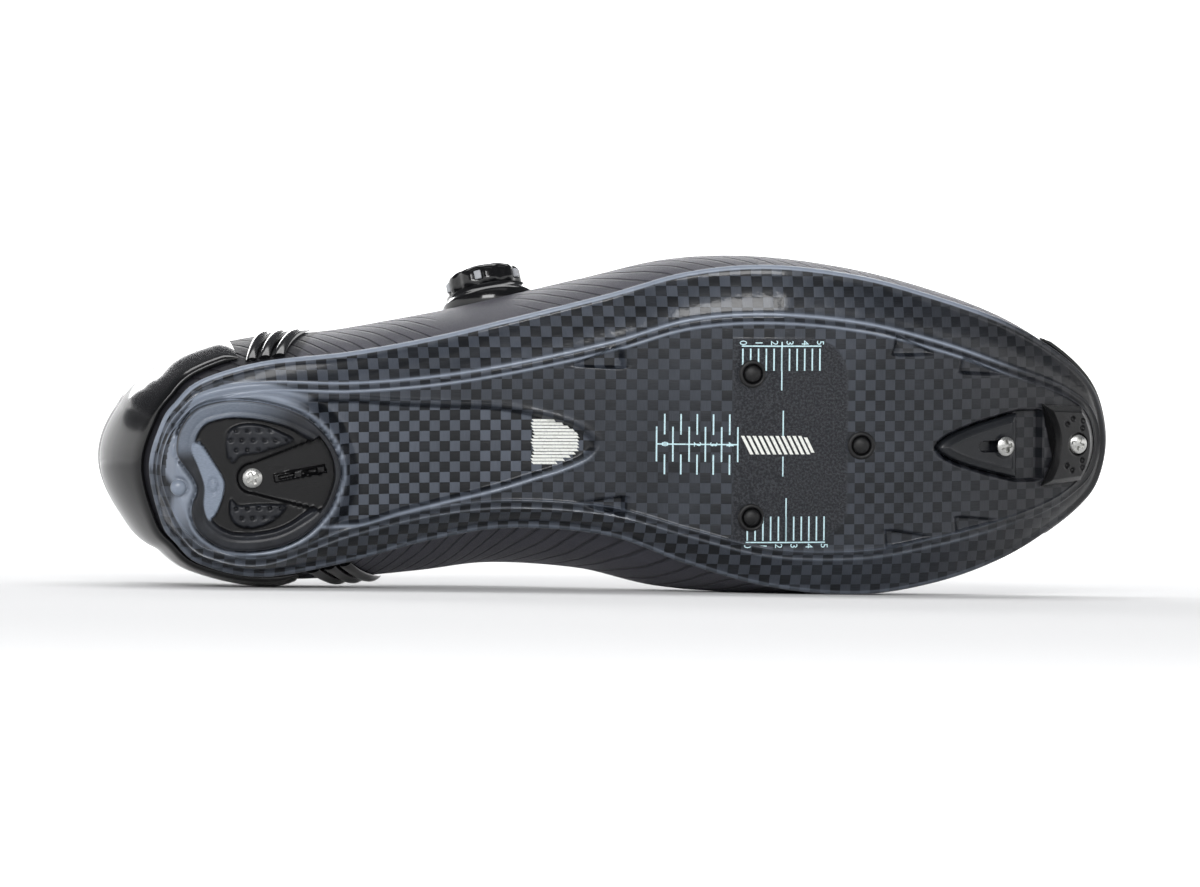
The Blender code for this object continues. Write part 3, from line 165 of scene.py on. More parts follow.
rimLoop = roundLoop(soleRows, lambda r, s: Vector((
    r.x * length, (-r.outer if s < 0 else r.inner) * width, deckHeight(r) + r.band * sole["bandRise"])))
deckLoop = roundLoop(soleRows, lambda r, s: Vector((
    r.deckX * length, (-r.deckOuter if s < 0 else r.deckInner) * width, deckHeight(r))))
edgeLoop = roundLoop(edgeRows, lambda r, s: Vector((
    r.x * length, (-r.outer if s < 0 else r.inner) * width, r.high * upper["instep"])))
swellLoop = roundLoop(edgeRows, lambda r, s: r.swellOuter if s < 0 else r.swellInner)
overLoop = roundLoop(edgeRows, lambda r, s: r.overOuter if s < 0 else r.overInner)
reachLoop, riseLoop, dropLoop = (
    roundLoop(edgeRows, lambda r, s, key=key: getattr(r, key)) for key in ("reach", "rise", "drop"))


@lru_cache(maxsize=None)
def outward(around):
    ahead = spline(rimLoop, around + 0.05) - spline(rimLoop, around - 0.05)
    return Vector((ahead.y, -ahead.x, 0)).normalized()


def rimPoint(around, inset=0.0, lift=0.0):
    return spline(rimLoop, around) - outward(around) * inset + up * lift


@lru_cache(maxsize=None)
def deckEdge(around):
    place = spline(deckLoop, around)
    return Vector((place.x, place.y, max(place.z, 0.0)))


footInset = sole["rimLedge"] + upper["wall"] + sole["lip"]


def footbedPoint(station, across, lift=0.0):
    outer, inner = (rimPoint(a, footInset, sole["rimThick"]) for a in (station, loop - station))
    place = outer.lerp(inner, (across + 1) / 2)
    floor = deckEdge(station).z + sole["thick"]
    place.z = floor + max(place.z - floor, 0) * abs(across) ** 4 + lift
    return place


@lru_cache(maxsize=None)
def wallColumn(around):  # the four control points of the upper's section
    start = rimPoint(around, sole["rimLedge"], sole["rimThick"] + gap)
    end, out = spline(edgeLoop, around), outward(around)
    tall = end.z - start.z
    back = Vector((start.x - end.x, start.y - end.y, 0))
    first = start + out * spline(swellLoop, around) * width + up * spline(riseLoop, around) * tall
    second = (end + back * spline(reachLoop, around) + out * spline(overLoop, around) * width
              + down * spline(dropLoop, around) * tall)
    return start, first, second, end


def wallPoint(around, high):
    start, first, second, end = wallColumn(around % loop)
    rest = 1 - high
    return start * rest**3 + first * 3 * rest**2 * high + second * 3 * rest * high**2 + end * high**3


def wallNormal(around, high):
    low, top = max(high - 0.01, 0), min(high + 0.01, 1)
    along = wallPoint(around + 0.04, high) - wallPoint(around - 0.04, high)
    return along.cross(wallPoint(around, top) - wallPoint(around, low)).normalized()


def upperPoint(around, high, lift=0.0):
    return wallPoint(around, high) + wallNormal(around, high) * lift


def onWall(around, high, lift=0.0):
    along = wallPoint(around + 0.04, high) - wallPoint(around - 0.04, high)
    return upperPoint(around, high, lift), wallNormal(around, high), along.normalized()


def steps(low, high, count):
    return [low + (high - low) * k / count for k in range(count + 1)]


@lru_cache(maxsize=None)
def evenRound(count):  # stations round the shoe, evenly spaced along the rim, the same on both sides
    fine = steps(0, tip, 1200)
    run = np.cumsum([0] + [(rimPoint(b) - rimPoint(a)).length for a, b in zip(fine, fine[1:])])
    outer = [round(a, 6) for a in np.interp(np.linspace(0, run[-1], count + 1), run, fine).tolist()]
    return outer + [loop - a for a in reversed(outer[:-1])]


# Bmesh helpers

def grid(us, vs, place, firstInner=None):  # strips from row firstInner on take the second material
    bm = bmesh.new()
    bmesh.ops.create_grid(bm, x_segments=len(us) - 1, y_segments=len(vs) - 1, size=1)
    bm.verts.ensure_lookup_table()
    for k, vert in enumerate(bm.verts):
        vert.co = place(us[k % len(us)], vs[k // len(us)])
    if firstInner is not None:
        for k, face in enumerate(bm.faces):
            face.material_index = int(k // (len(us) - 1) >= firstInner)
    bmesh.ops.remove_doubles(bm, verts=bm.verts, dist=1e-6)
    bmesh.ops.dissolve_degenerate(bm, dist=1e-7, edges=bm.edges)
    return bm


def closeEnds(bm):
    bmesh.ops.holes_fill(bm, edges=[e for e in bm.edges if e.is_boundary], sides=0)
    return bm


def stripSection(thick, rounding, rows):  # places round a strip's section: (share of its height, lift)
    bend = [(math.sin(a), 1 - math.cos(a)) for a in steps(0, math.pi / 2, 4)]
    face = [(share, thick) for share in steps(rounding, 1 - rounding, rows)]
    foot = [(rounding * (1 - s), thick * (0.5 + 0.5 * (1 - c))) for s, c in reversed(bend[1:])]
    head = [(1 - rounding * (1 - s), thick * (0.5 + 0.5 * (1 - c))) for s, c in bend[1:]]
    return [(0, 0)] + foot + face + head + [(1, 0), (0, 0)]


def turned(profile, segments):
    bm = bmesh.new()
    verts = [bm.verts.new((r, 0, z)) for r, z in profile]
    edges = [bm.edges.new(pair) for pair in zip(verts, verts[1:])]
    bmesh.ops.spin(bm, geom=verts + edges, axis=(0, 0, 1), cent=(0, 0, 0), angle=math.tau,
                   steps=segments, use_merge=True)
    bmesh.ops.remove_doubles(bm, verts=bm.verts, dist=1e-6)
    return bm


def placed(bm, origin, rise, ahead=Vector((1, 0, 0))):
    side = rise.cross(ahead).normalized()
    front = side.cross(rise).normalized()
    turn = Matrix((front, side, rise.normalized())).transposed().to_4x4()
    bmesh.ops.transform(bm, matrix=Matrix.Translation(origin) @ turn, verts=bm.verts)
    return bm


def joined(parts):  # one bmesh from several, which are freed
    whole = bmesh.new()
    for part in parts:
        mesh = bpy.data.meshes.new("part")
        part.to_mesh(mesh)
        part.free()
        whole.from_mesh(mesh)
        bpy.data.meshes.remove(mesh)
    return whole


def fit(name, bm, finish, nodes=(), body="shoe", sharp=40):
    # lays a bmesh with the shoe and makes it a piece on its body; edges over sharp degrees stay hard
    bmesh.ops.recalc_face_normals(bm, faces=bm.faces)
    bmesh.ops.transform(bm, matrix=lay, verts=bm.verts)
    mesh = bpy.data.meshes.new(name)
    bm.to_mesh(mesh)
    bm.free()
    for key in finish if isinstance(finish, tuple) else (finish,):
        mesh.materials.append(finishes[key])
    mesh.shade_smooth()
    mesh.set_sharp_from_angle(angle=math.radians(sharp))
    piece = bpy.data.objects.new(name, mesh)
    bpy.context.scene.collection.objects.link(piece)
    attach(piece, body)
    if nodes:
        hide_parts(*nodes)
    return piece


def clamped(value):
    return max(0.0, min(1.0, value))


# Relief on the sole: numpy masks over places in the shoe's frame

def ease(value):
    t = np.clip(value, 0, 1)
    return t * t * (3 - 2 * t)


def insideOf(x, y, outline):  # distance inside a closed outline, negative outside it
    corners = np.array([(p[0], p[1]) for p in outline])
    best, odd = np.full(x.shape, 1.0), np.zeros(x.shape, bool)
    for (ax, ay), (bx, by) in zip(corners, np.roll(corners, -1, 0)):
        share = np.clip(((x - ax) * (bx - ax) + (y - ay) * (by - ay)) / ((bx - ax)**2 + (by - ay)**2), 0, 1)
        best = np.minimum(best, np.hypot(x - ax - share * (bx - ax), y - ay - share * (by - ay)))
        if ay != by:
            odd ^= ((ay > y) != (by > y)) & (x < ax + (y - ay) / (by - ay) * (bx - ax))
    return np.where(odd, best, -best)


def closedCurve(points, samples):
    points = [Vector(p) for p in points]
    return [spline(points, k * len(points) / samples) for k in range(samples)]


deckSide = [deckEdge(a) for a in steps(0, tip, 340)]
deckXs, deckZs = [place.x for place in deckSide], [place.z for place in deckSide]


def deckZ(x):
    return np.interp(x, deckXs, deckZs)


heelPad = {"centre": Vector((0.1095 * length, 0.090 * width)), "radius": 21.3 * mm, "edge": 0.8 * mm,
           "ring": 4.2 * mm, "toeRing": 2.6 * mm, "well": 2.0 * mm, "wellSlope": 0.9 * mm,
           "screw": (0.1009 * length, 0.099 * width), "channel": 4.6 * mm, "channelDepth": 1.4 * mm,
           "seatDepth": 2.2 * mm, "seatFrom": 1.0 * mm, "seatSlope": 1.2 * mm,
           "groove": 0.9 * mm, "grooveOut": 0.25 * mm, "grooveWidth": 0.35 * mm,
           "lineIn": 1.1 * mm, "lineWidth": 0.55 * mm,
           "outline": [
               (1.03, -0.02), (0.96, -0.32), (0.77, -0.59), (0.50, -0.79), (0.10, -0.92), (-0.30, -0.97),
               (-0.60, -0.94), (-0.86, -0.84), (-1.04, -0.60), (-1.09, -0.30), (-0.99, -0.12), (-0.88, 0.04),
               (-0.83, 0.19), (-0.88, 0.34), (-0.90, 0.50), (-0.84, 0.68), (-0.70, 0.83), (-0.47, 0.95),
               (-0.15, 0.98), (0.25, 0.92), (0.58, 0.76), (0.84, 0.50), (0.97, 0.25)]}
heelRing = {"oval": (1.05, 0.98), "width": 2.1 * mm, "rise": 0.9 * mm, "slope": 1.8 * mm, "flat": 0.8 * mm,
            "crown": 0.45 * mm, "crownOut": 1.6 * mm, "crownWidth": 1.2 * mm, "blend": 0.5 * mm,
            "reach": 4 * mm}
archRecess = {"depth": 1.9 * mm, "slope": 1.5 * mm, "lip": 0.25 * mm, "lipOut": 0.5 * mm,
              "lipWidth": 0.6 * mm, "outline": [
    (0.150, 0.20), (0.150, -0.10), (0.190, -0.132), (0.251, -0.120), (0.300, -0.112), (0.349, -0.105),
    (0.388, -0.087), (0.422, -0.060), (0.441, -0.033), (0.453, 0.008), (0.444, 0.050), (0.420, 0.084),
    (0.392, 0.110), (0.350, 0.147), (0.293, 0.184), (0.252, 0.211), (0.200, 0.245)]}
scoopWall = 0.7 * mm
scoop = namedtuple("scoop", "deepX deepY shallowX shallowY half depth")
scoops = [scoop(*row) for row in (
    (0.477, -0.252, 0.425, -0.226, 3.36 * mm, 3.3 * mm), (0.480, 0.196, 0.430, 0.188, 3.00 * mm, 3.3 * mm),
    (0.757, -0.288, 0.800, -0.262, 3.00 * mm, 3.3 * mm), (0.830, -0.226, 0.876, -0.196, 2.52 * mm, 3.0 * mm),
    (0.750, 0.296, 0.798, 0.290, 3.00 * mm, 3.3 * mm), (0.826, 0.256, 0.874, 0.246, 2.52 * mm, 3.0 * mm))]
slider = {"tipX": 0.8041 * length, "endX": 0.8915 * length, "y": 0.022 * width, "halfWidth": 9.2 * mm,
          "proud": 0.9 * mm, "facet": 2.1 * mm, "pocket": 2.6 * mm, "travel": 4.5 * mm, "vent": 2.3 * mm,
          "slotBack": 12.8 * mm, "slotFront": 3.0 * mm, "slotDepth": 2.4 * mm, "well": 0.25 * mm,
          "ridge": 0.12 * mm, "edgeDrop": 0.5 * mm, "lineHalf": 0.3 * mm,
          "chamfer": 0.8 * mm, "chamferOut": 0.9 * mm}
cleats = {"x": 0.6077 * length, "y": 0.011 * width, "base": 40.4 * mm, "forward": 31 * mm,
          "radius": 3.6 * mm, "dish": 1.5 * mm, "dishRadius": 3.2 * mm, "dishSlope": 0.6 * mm}
screwSize = {"head": 2.7 * mm, "tall": 1.3 * mm, "shank": 1.25 * mm, "arm": 0.21, "reach": 0.68, "deep": 0.9}
rivet = {"x": 0.0270 * length, "y": 0.125 * width, "radius": 2.2 * mm, "height": 2.1 * mm, "sunk": 0.6 * mm,
         "groove": 0.5 * mm, "grooveWidth": 0.45 * mm}

padDeckZ = float(deckZ(heelPad["centre"].x))
padCurve = closedCurve([heelPad["centre"] + Vector(p) * heelPad["radius"] for p in heelPad["outline"]], 184)
recessCurve = closedCurve([(x * length, y * width) for x, y in archRecess["outline"]], 120)
pocketEndX = slider["endX"] + slider["travel"] + slider["vent"]
sliderStart = Vector((slider["tipX"], slider["y"], float(deckZ(slider["tipX"]))))
sliderAhead = (Vector((pocketEndX, slider["y"], float(deckZ(pocketEndX)))) - sliderStart).normalized()
sliderUp = Vector((-sliderAhead.z, 0, sliderAhead.x))
sliderLength = (slider["endX"] - slider["tipX"]) / sliderAhead.x


def arrowOutline(long, halfWidth, clear=0.0, beyond=0.0, count=14):  # blunt arrow, its tip towards the heel
    side = []
    for s in (t**2 for t in steps(0, 1, count)):
        side.append((long * s - 2 * clear * (1 - s), halfWidth * s**0.58 + clear * s**0.3))
    if beyond:
        side.append((long + beyond, side[-1][1]))
    return [(x, -y) for x, y in reversed(side)] + side[1:]


pocketCurve = [(sliderStart.x + px * sliderAhead.x, sliderStart.y + py)
               for px, py in arrowOutline(sliderLength, slider["halfWidth"], gap,
                                          (pocketEndX - slider["endX"]) / sliderAhead.x)]


def bump(value, middle, half):
    return np.exp(-((value - middle) / half) ** 2)


def cleatPlaces():
    x, y, half = cleats["x"], cleats["y"], cleats["base"] / 2
    return [Vector((x, y - half, 0)), Vector((x, y + half, 0)), Vector((x + cleats["forward"], y, 0))]


def heelRelief(x, y, z, inPad):  # the oval ring round the heel pad, the groove at the pad and its seat
    dx, dy = x - heelPad["centre"].x, y - heelPad["centre"].y
    longR, wideR = (heelPad["radius"] * share + heelRing["width"] for share in heelRing["oval"])
    out = (np.hypot(dx / longR, dy / wideR) - 1) * min(longR, wideR)
    steep = (heelRing["rise"] + heelRing["slope"]) / heelRing["slope"]
    ring = padDeckZ - heelRing["rise"] + steep * np.maximum(out + heelRing["flat"], 0)
    ring -= heelRing["crown"] * bump(inPad, -heelRing["crownOut"], heelRing["crownWidth"])
    near = np.clip((ring - z) / heelRing["blend"], -30, 30)
    z = np.where(out < heelRing["reach"], z - heelRing["blend"] * np.log1p(np.exp(-near)), z)
    z = z + heelPad["groove"] * bump(inPad, -heelPad["grooveOut"], heelPad["grooveWidth"])
    seat = padDeckZ + heelPad["seatDepth"]
    return z + (seat - z) * ease((inPad - heelPad["seatFrom"]) / heelPad["seatSlope"])


def scoopRelief(x, y, row):  # depth of a triangular air scoop that runs out along its axis
    deep = np.array((row.deepX * length, row.deepY * width))
    shallow = np.array((row.shallowX * length, row.shallowY * width))
    run = np.linalg.norm(shallow - deep)
    ahead = (shallow - deep) / run
    along = ((x - deep[0]) * ahead[0] + (y - deep[1]) * ahead[1]) / run
    aside = np.abs(-(x - deep[0]) * ahead[1] + (y - deep[1]) * ahead[0])
    left = 1 - np.clip(along, 0, 1)
    sides = ease((row.half * left**0.8 - aside) / scoopWall)
    return row.depth * sides * ease((along + 0.10) / 0.12) * (along < 1) * left**0.9


def soleRelief(x, y, z):  # the sole's underside with its recesses, ring and lips; z is up into the shoe
    inRecess = insideOf(x, y, recessCurve)
    z = z + archRecess["depth"] * ease(inRecess / archRecess["slope"])
    z = z - archRecess["lip"] * bump(inRecess, -archRecess["lipOut"], archRecess["lipWidth"])
    z = heelRelief(x, y, z, insideOf(x, y, padCurve))
    for row in scoops:
        z = z + scoopRelief(x, y, row)
    floor = sliderStart.z + (x - sliderStart.x) * sliderAhead.z / sliderAhead.x + slider["pocket"]
    z = z + (floor - z) * ease((insideOf(x, y, pocketCurve) + slider["chamferOut"]) / slider["chamfer"])
    for hole in cleatPlaces():
        inHole = cleats["dishRadius"] - np.hypot(x - hole.x, y - hole.y)
        z = z + cleats["dish"] * ease(inHole / cleats["dishSlope"])
    spot = np.hypot(x - rivet["x"], y - rivet["y"])
    return z + rivet["groove"] * bump(spot, rivet["radius"] + gap, rivet["grooveWidth"])


lips = {"bead": 1.1 * mm, "high": 0.34 * mm, "rim": 0.25 * mm, "bandInset": 1.9 * mm, "bandUp": 0.1 * mm,
        "stepBow": 0.2 * mm, "deckWidth": 0.4 * mm}
# strength of the painted highlight along the sole's edges: on the inner side, towards the toe and on the
# rim's bead
paintedShine = {"inner": 0.22, "toe": 0.04, "toeFrom": 228 * mm, "toeOver": 24 * mm, "bead": 0.9}


def soleSurface():
    # rows of places over the footbed, the rim's bead, the band, the step and the deck to its middle line,
    # the rows that lie under the rim, and how strongly the painted highlight along the edges shows at each
    # place
    arounds = evenRound(345)
    rim, out, deck = (np.array([at(a) for a in arounds]) for at in (rimPoint, outward, deckEdge))
    upward, bead = np.array((0, 0, 1.0)), lips["bead"]
    # the painted highlight is strongest on the outer side, which faces the light, and fades towards the toe
    outerSide = ease((0.5 - np.array([abs(a - tip / 2) / tip for a in arounds])) * 8 + 0.5)
    strength = paintedShine["inner"] + (1 - paintedShine["inner"]) * outerSide
    strength = strength * (1 - (1 - paintedShine["toe"]) * ease((rim[:, 0] - paintedShine["toeFrom"]) / paintedShine["toeOver"]))
    rows, under, paintedHighlights = [], [], []

    def add(points, line=0.0, below=True):
        if below:
            under.append(len(rows))
        rows.append(points)
        paintedHighlights.append(strength * line)
    for t in (0, 0.4, 0.7, 0.85, 0.94, 1.0):
        footbed = [footbedPoint(min(a, loop - a), -t if a <= tip else t) for a in arounds]
        add(np.array(footbed), below=False)
    heart = rim - out * bead + upward * bead
    # the bead's upper side gets a painted highlight
    for turn in steps(90, -100, 12):
        a = math.radians(turn)
        place = heart + out * bead * math.cos(a) + upward * bead * math.sin(a)
        add(place, paintedShine["bead"] if -95 < turn < 30 else 0.0, below=False)
    slant = (rim - deck) * (1, 1, 0)
    reach = np.linalg.norm(slant, axis=1)[:, None]
    level = slant / np.maximum(reach, 1e-9)
    foot = deck + level * np.minimum(sole["stepWidth"], sole["stepShare"] * reach)
    foot = foot + upward * sole["stepRise"]
    tall = (rim - deck)[:, 2:]
    start = rim - level * lips["bandInset"] + upward * lips["bandUp"]
    # the band's foot, the step's ridges and the deck's edge get a painted highlight
    for s in (0, 0.03, 0.07, 0.14, 0.22, 0.31, 0.4, 0.5, 0.6, 0.7, 0.8, 0.88, 0.93, 0.965, 1.0):
        sag = 4 * s * (1 - s) * sole["bandHollow"] * tall
        lipped = lips["high"] * bump(s, 1, 1 / 18) + lips["rim"] * bump(s, -0.02, 1 / 16)
        add(start + (foot - start) * s - upward * (sag + lipped), bump(s, 1, 1 / 22))
    for s in (0.12, 0.25, 0.4, 0.55, 0.7, 0.8, 0.9, 1.0):
        ridge = bump(s, 0, 0.16) + bump(s, 1, 0.16)
        bow = lips["stepBow"] * math.sin(math.pi * s)
        add(foot + (deck - foot) * s - upward * (lips["high"] * ridge - bow), ridge)
    partner = deck[::-1]
    for s in (t**1.15 for t in steps(0, 1, 84)[1:]):
        inset = s * np.linalg.norm(partner - deck, axis=1) / 2
        ridge = bump(inset, 0, lips["deckWidth"])
        add(deck + (partner - deck) * s / 2 - upward * lips["high"] * ridge[:, None], ridge)
    places = np.array(rows)
    x, y, z = (places[under][:, :, k] for k in range(3))
    places[under, :, 2] = soleRelief(x, y, z)
    return places, np.array(paintedHighlights)


gritPatch = {"low": (149.0 * mm, -29.5 * mm), "high": (195.5 * mm, 29.5 * mm), "corner": 12.0 * mm,
             "waver": 0.5 * mm, "edge": 1.2 * mm, "top": 2 * mm}
weave = {"band": 0.55, "bandToe": 0.30, "deck": 0.40, "calm": 0.22, "toeCalm": 0.12, "bandOver": 0.8 * mm}


def soleShares(x, y, z, paintedHighlights):
    # how much weave, grit and painted highlight each place of the sole shows
    inRecess, inPad = insideOf(x, y, recessCurve), insideOf(x, y, padCurve)
    (lowX, lowY), (highX, highY), corner = gritPatch["low"], gritPatch["high"], gritPatch["corner"]
    qx = np.abs(x - (lowX + highX) / 2) - (highX - lowX) / 2 + corner
    qy = np.abs(y - (lowY + highY) / 2) - (highY - lowY) / 2 + corner
    patch = np.hypot(np.maximum(qx, 0), np.maximum(qy, 0)) + np.minimum(np.maximum(qx, qy), 0) - corner
    patch = patch + gritPatch["waver"] * np.sin(x / (3.1 * mm)) * np.sin(y / (2.3 * mm))
    grit = ease(-patch / gritPatch["edge"]) * (z < gritPatch["top"])
    calm = bump(x, 140 * mm, 26 * mm) * bump(y, 0, 26 * mm)  # plain stretch behind the cleats
    below = z < padDeckZ + 2.5 * mm
    # painted highlights: on the heel lip beside the pad, where the weave is smoothed away, on the ring round
    # the pad and on the inner edge of the arch recess
    heelward = ease((34 * mm - x - 0.9 * (y - 4 * mm)) / (14 * mm))
    crescentHighlight = ease((inPad + 6.5 * mm) / (2 * mm)) * heelward * below
    ringHighlight = bump(inPad, -heelPad["lineIn"], heelPad["lineWidth"]) * below
    innerSide = ease((y - 2 * mm) / (6 * mm)) * ease((x - 46 * mm) / mm)
    recessHighlight = bump(inRecess, -0.2 * mm, 0.5 * mm) * innerSide
    bandShare = weave["band"] + (weave["bandToe"] - weave["band"]) * ease((x - 150 * mm) / (60 * mm))
    plain = weave["deck"] - weave["calm"] * calm - weave["toeCalm"] * ease((x - 185 * mm) / (40 * mm))
    share = np.where(z - deckZ(x) > weave["bandOver"], bandShare, plain)
    share = share + (1 - share) * ease((inRecess - 0.8 * mm) / (1.2 * mm))
    share = share * (1 - 0.85 * crescentHighlight) * (1 - 0.9 * grit)
    line = np.maximum(paintedHighlights * (inPad < -2 * mm), 0.8 * crescentHighlight)
    return share, grit, np.maximum(np.maximum(line, 0.9 * ringHighlight), 0.75 * recessHighlight)


def soleBody():
    places, paintedHighlights = soleSurface()
    rows, columns = paintedHighlights.shape
    bm = bmesh.new()
    bmesh.ops.create_grid(bm, x_segments=columns - 1, y_segments=rows - 1, size=1)
    bm.verts.ensure_lookup_table()
    flat = places.reshape(-1, 3)
    for vert, place in zip(bm.verts, flat.tolist()):
        vert.co = place
    layers = [bm.verts.layers.float.new(key) for key in ("weaveShare", "gritShare", "lineShare")]
    for layer, shares in zip(layers, soleShares(*flat.T, paintedHighlights.reshape(-1))):
        for vert, share in zip(bm.verts, shares.tolist()):
            vert[layer] = share
    bmesh.ops.remove_doubles(bm, verts=bm.verts, dist=2e-6)
    bmesh.ops.dissolve_degenerate(bm, dist=1e-7, edges=bm.edges)
    return bm


# Materials. Patterns read Object coordinates, turned into the shoe's frame and counted in millimetres.

class Nodes:  # short calls to build one material's node tree
    def __init__(self, name):
        self.material = bpy.data.materials.new(name)
        self.material.use_nodes = True
        self.tree = self.material.node_tree
        self.shader = self.tree.nodes["Principled BSDF"]
        self.count = 0

    def node(self, kind, values=None, **settings):
        made = self.tree.nodes.new("ShaderNode" + kind)
        made.location = (-240 * (1 + self.count % 8), 260 - 190 * (self.count // 8))
        self.count += 1
        for key, value in settings.items():
            setattr(made, key, value)
        for key, value in (values or {}).items():
            self.put(made.inputs[key], value)
        return made

    def put(self, socket, value):
        if isinstance(value, bpy.types.NodeSocket):
            self.tree.links.new(value, socket)
        else:
            socket.default_value = value

    def math(self, operation, *values, clamp=False):
        return self.node("Math", dict(enumerate(values)), operation=operation, use_clamp=clamp).outputs[0]

    def times(self, one, other):
        return self.math("MULTIPLY", one, other)

    def plus(self, one, other, clamp=False):
        return self.math("ADD", one, other, clamp=clamp)

    def minus(self, one, other):
        return self.math("SUBTRACT", one, other)

    def inverse(self, value):
        return self.minus(1.0, value)

    def mix(self, kind, sockets, values):
        made = self.node("Mix", data_type=kind)
        for k, value in zip(sockets, values):
            self.put(made.inputs[k], (*value, 1) if isinstance(value, tuple) else value)
        return made

    def colour(self, factor, one, other):
        return self.mix("RGBA", (0, 6, 7), (factor, one, other)).outputs[2]

    def blendOf(self, factor, one, other):
        return self.mix("FLOAT", (0, 2, 3), (factor, one, other)).outputs[0]

    def shoePlace(self):  # place in the shoe's frame, in millimetres
        back = lay.inverted()
        where = self.node("TexCoord").outputs["Object"]
        turnedBack = self.node("Mapping", {
            "Vector": where, "Rotation": back.to_euler(), "Location": back.translation}).outputs[0]
        return self.node("VectorMath", {0: turnedBack, "Scale": 1 / mm}, operation="SCALE").outputs[0]

    def noise(self, place, scale, detail=3.0, rough=0.55):
        return self.node("TexNoise", {
            "Vector": place, "Scale": scale, "Detail": detail, "Roughness": rough}).outputs["Fac"]

    def stretch(self, place, amounts):
        return self.node("Mapping", {"Vector": place, "Scale": amounts}).outputs[0]

    def split(self, place):
        return self.node("SeparateXYZ", {0: place}).outputs

    def between(self, value, low, high):
        return self.node("MapRange", {0: value, 1: low, 2: high, 3: 0.0, 4: 1.0},
                         interpolation_type="SMOOTHSTEP").outputs[0]

    def attribute(self, name):
        return self.node("Attribute", attribute_name=name).outputs["Fac"]

    def relief(self, height, depth, onto="Normal", below=None):
        values = {"Height": height, "Distance": depth, "Strength": 1.0}
        if below is not None:
            values["Normal"] = below
        made = self.node("Bump", values).outputs[0]
        self.tree.links.new(made, self.shader.inputs[onto])
        return made

    def finish(self, **values):
        for key, value in values.items():
            socket = self.shader.inputs[key.replace("_", " ")]
            self.put(socket, (*value, 1) if isinstance(value, tuple) and len(value) == 3 else value)
        return self.material


carbon = {"cell": 2.9, "dark": (0.002, 0.003, 0.005), "pale": (0.074, 0.086, 0.110),
          "brown": (0.046, 0.042, 0.040), "brownFrom": 190.0, "brownTo": 262.0, "brownShare": 0.75,
          "toe": (0.006, 0.006, 0.007), "toeFrom": 260.0, "toeTo": 267.0,
          # the pale colour painted on as highlight along the edges and round the heel pad, and how strongly
          # it shows
          "line": (0.27, 0.31, 0.38), "lineShare": 0.85, "chance": 0.35, "fibres": 0.30, "cloud": 0.35,
          "gritDark": (0.014, 0.015, 0.019), "gritPale": (0.052, 0.056, 0.064), "gritRough": 0.3,
          "weaveDepth": 0.00022, "gritDepth": 0.0007, "coatDepth": 0.00012, "roughness": 0.42,
          "coatRoughness": 0.12}  # lengths in mm, depths in m


def carbonFinish():
    n = Nodes("clearCoatedCarbon")
    place = n.shoePlace()
    x, y, _ = n.split(place)
    cellX, cellY = (n.math("DIVIDE", value, carbon["cell"]) for value in (x, y))
    inCells = n.node("CombineXYZ", {0: cellX, 1: cellY, 2: 0.5}).outputs[0]
    warp = n.node("TexChecker", {"Vector": inCells, "Scale": 1.0, "Color1": (0, 0, 0, 1),
                                 "Color2": (1, 1, 1, 1)}).outputs["Fac"]
    cell = n.node("VectorMath", {0: inCells}, operation="FLOOR").outputs[0]
    chance = n.node("TexWhiteNoise", {"Vector": cell}).outputs["Value"]
    warpFibres = n.noise(n.stretch(place, (6.0, 0.25, 1.0)), 1.0, 4.0)
    weftFibres = n.noise(n.stretch(place, (0.25, 6.0, 1.0)), 1.0, 4.0)
    fibres = n.blendOf(warp, weftFibres, warpFibres)
    share = n.attribute("weaveShare")
    swing = n.times(n.minus(warp, 0.5), share)
    swing = n.plus(swing, n.times(n.minus(chance, 0.5), n.times(share, carbon["chance"])))
    swing = n.plus(swing, n.times(n.minus(fibres, 0.5), carbon["fibres"]))
    cloud = n.times(n.minus(n.noise(place, 0.045, 2.0), 0.5), carbon["cloud"])
    level = n.plus(n.times(share, 0.2), 0.18)
    tone = n.plus(n.plus(swing, cloud), level, clamp=True)
    base = n.colour(tone, carbon["dark"], carbon["pale"])
    toeward = n.times(n.between(x, carbon["brownFrom"], carbon["brownTo"]), carbon["brownShare"])
    base = n.colour(toeward, base, n.colour(tone, carbon["dark"], carbon["brown"]))
    base = n.colour(n.between(x, carbon["toeFrom"], carbon["toeTo"]), base, carbon["toe"])
    grit = n.attribute("gritShare")
    speck = n.noise(place, 1.5, 4.0, 0.75)
    gritTone = n.colour(n.between(speck, 0.40, 0.66), carbon["gritDark"], carbon["gritPale"])
    base = n.colour(grit, base, gritTone)
    # pale paint where the sole carries a painted highlight
    base = n.colour(n.times(n.attribute("lineShare"), carbon["lineShare"]), base, carbon["line"])
    crownWarp, crownWeft = (n.math("ABSOLUTE", n.math("SINE", n.times(value, math.pi)))
                            for value in (cellX, cellY))
    crown = n.math("POWER", n.blendOf(warp, crownWeft, crownWarp), 0.5)
    woven = n.times(n.plus(crown, n.times(fibres, 0.5)), share)
    rasp = n.times(speck, grit)
    n.relief(rasp, carbon["gritDepth"], below=n.relief(woven, carbon["weaveDepth"]))
    ripple = n.plus(n.times(woven, 0.10), n.times(n.noise(place, 0.35, 2.0), 0.55))
    coatNormal = n.relief(ripple, carbon["coatDepth"], onto="Coat Normal")
    n.relief(rasp, carbon["gritDepth"], onto="Coat Normal", below=coatNormal)
    rough = n.plus(carbon["roughness"], n.times(grit, carbon["gritRough"]))
    return n.finish(Base_Color=base, Roughness=rough, Metallic=0.1, Specular_IOR_Level=0.2,
                    Coat_Weight=0.4, Coat_Roughness=carbon["coatRoughness"])


